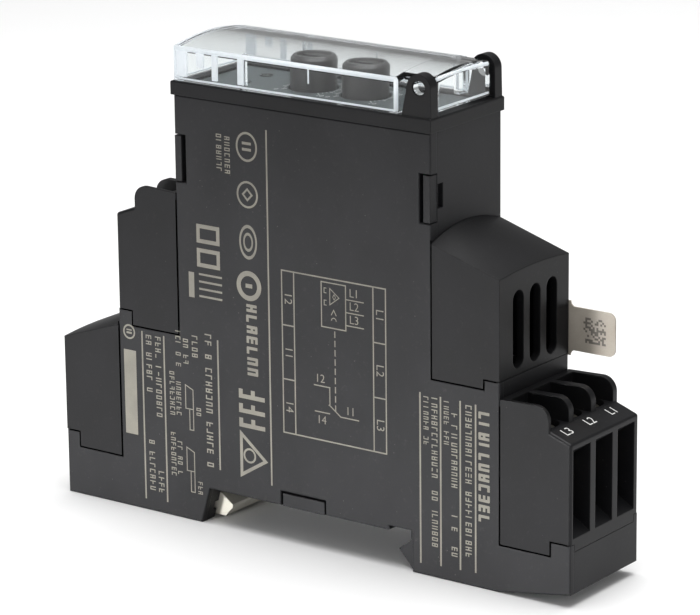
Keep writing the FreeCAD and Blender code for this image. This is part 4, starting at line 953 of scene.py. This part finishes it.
# %% Plates with rounded edges
def plates(name, blocks, soft, body, finish):
    """Closed plates between two millimetre corners each, with their edges rounded."""
    shape = bmesh.new()
    for low, high in blocks:
        middle = (Vector(low) + Vector(high)) / 2
        size = Vector(high) - Vector(low)
        bmesh.ops.create_cube(shape, size=1.0, matrix=Matrix.Translation(middle * mm)
                              @ Matrix.Diagonal((*(size * mm), 1)))
    bmesh.ops.bevel(shape, geom=list(shape.edges), offset=soft * mm, segments=3, affect="EDGES",
                    profile=0.5)
    mesh = bpy.data.meshes.new(name)
    shape.to_mesh(mesh)
    shape.free()
    place_piece(name, mesh, finish, body, smooth=True)


# %% [markdown]
# There are four legs on each side. The second and third are narrow, and the last one, between
# the first two, starts higher up.

# %% The legs
legs = []
leg_inside, leg_outside = 7.95, 8.45
for side_way in (-1, 1):
    inner, outer = sorted((side_way * leg_inside, side_way * leg_outside))
    for start, end, foot in ((-22.5, -20.6, 0.3), (-16.1, -15.1, 0.3), (-11.5, -10.4, 0.3),
                             (-18.9, -17.6, 1.9)):
        legs.append(((start, inner, rim_z + foot), (end, outer, roof_z - 0.2)))
# The legs are real. Their near-white glowing finish is a painted highlight.
plates("cover_latch_legs", legs, 0.12, "cover", glowing_glint_finish)

# %% [markdown]
# ## Camera
# The camera stands at the height of a table viewer, turned toward the supply end, with a long lens
# so that the upright edges stay nearly parallel.

# %% Camera
azimuth, elevation, roll = math.radians(36.149), math.radians(15.981), math.radians(-0.608)
distance, slide, rise = 546.66, 0.959, 32.686
sensor_width, lens = 36.0, 191.905714
back = Vector((math.sin(azimuth) * math.cos(elevation), -math.cos(azimuth) * math.cos(elevation),
               math.sin(elevation)))
level = (-back).cross(Vector((0, 0, 1))).normalized()
upward = level.cross(-back)
across = level * math.cos(roll) + upward * math.sin(roll)
above = upward * math.cos(roll) - level * math.sin(roll)
place = (across * slide + above * rise + back * distance) * mm
camera_data = bpy.data.cameras.new("camera")
camera_data.sensor_width = sensor_width
camera_data.lens = lens
camera_data.clip_start, camera_data.clip_end = 0.01, 20
camera = bpy.data.objects.new("camera", camera_data)
camera.matrix_world = Matrix((*zip(across, above, back, place), (0, 0, 0, 1)))
bpy.context.scene.collection.objects.link(camera)
bpy.context.scene.camera = camera
print("camera", round(distance), "mm away, lens", round(camera_data.lens), "mm")

# %% [markdown]
# ## Floor and light
# A product table is a large pale sheet, a hair below the feet so that the two never share a plane.

# %% Floor
floor_mesh = bpy.data.meshes.new("floor")
wide, sheet_z = 2.6, -0.00002
floor_mesh.from_pydata([(-wide, -wide, sheet_z), (wide, -wide, sheet_z), (wide, wide, sheet_z),
                        (-wide, wide, sheet_z)], [], [(0, 1, 2, 3)])
floor = bpy.data.objects.new("floor", floor_mesh)
bpy.context.scene.collection.objects.link(floor)
paper = Finish("paper")
pale = paper.mix(paper.noise(60, detail=3), (0.9, 0.9, 0.9, 1), (0.93, 0.93, 0.93, 1))
floor_mesh.materials.append(paper.surface({"Base Color": pale, "Roughness": 0.9}))
print("floor", wide * 2, "m square")

# %% [markdown]
# Most light comes from a broad panel overhead, and the pale floor throws it back up. A faint
# panel in front shows the print, a low narrow strip brightens the foot of the side, and another
# faint panel at the end catches the rounded edges. A pale surround fills the shadows, and the
# plain view transform keeps the floor white.

# %% Lights
def soft_light(name, place, target, size, power, spread=180):
    """A rectangular panel that faces its target; sizes in metres, spread in degrees."""
    data = bpy.data.lights.new(name, "AREA")
    data.shape = "RECTANGLE"
    data.size, data.size_y = size
    data.energy = power
    data.spread = math.radians(spread)
    lamp = bpy.data.objects.new(name, data)
    lamp.location = place
    lamp.rotation_euler = (Vector(target) - Vector(place)).to_track_quat("-Z", "Y").to_euler()
    bpy.context.scene.collection.objects.link(lamp)


middle = (0.0, 0.0, 0.035)
soft_light("side_light", (-0.25, -0.8, 0.3), middle, (0.8, 0.5), 0.3)
soft_light("low_light", (-0.2, -0.75, 0.03), (0, 0, 0.0), (0.7, 0.06), 0.24, 12)
soft_light("top_light", (0.02, 0.02, 0.75), middle, (0.6, 0.6), 7.3)
soft_light("end_light", (0.8, -0.25, 0.25), middle, (0.4, 0.5), 0.3)
surround = bpy.data.worlds.new("surround")
surround.use_nodes = True
background = surround.node_tree.nodes["Background"]
background.inputs["Color"].default_value = (1, 1, 1, 1)
background.inputs["Strength"].default_value = 0.3
bpy.context.scene.world = surround
bpy.context.scene.view_settings.view_transform = "Standard"
print("4 lights and a pale surround")
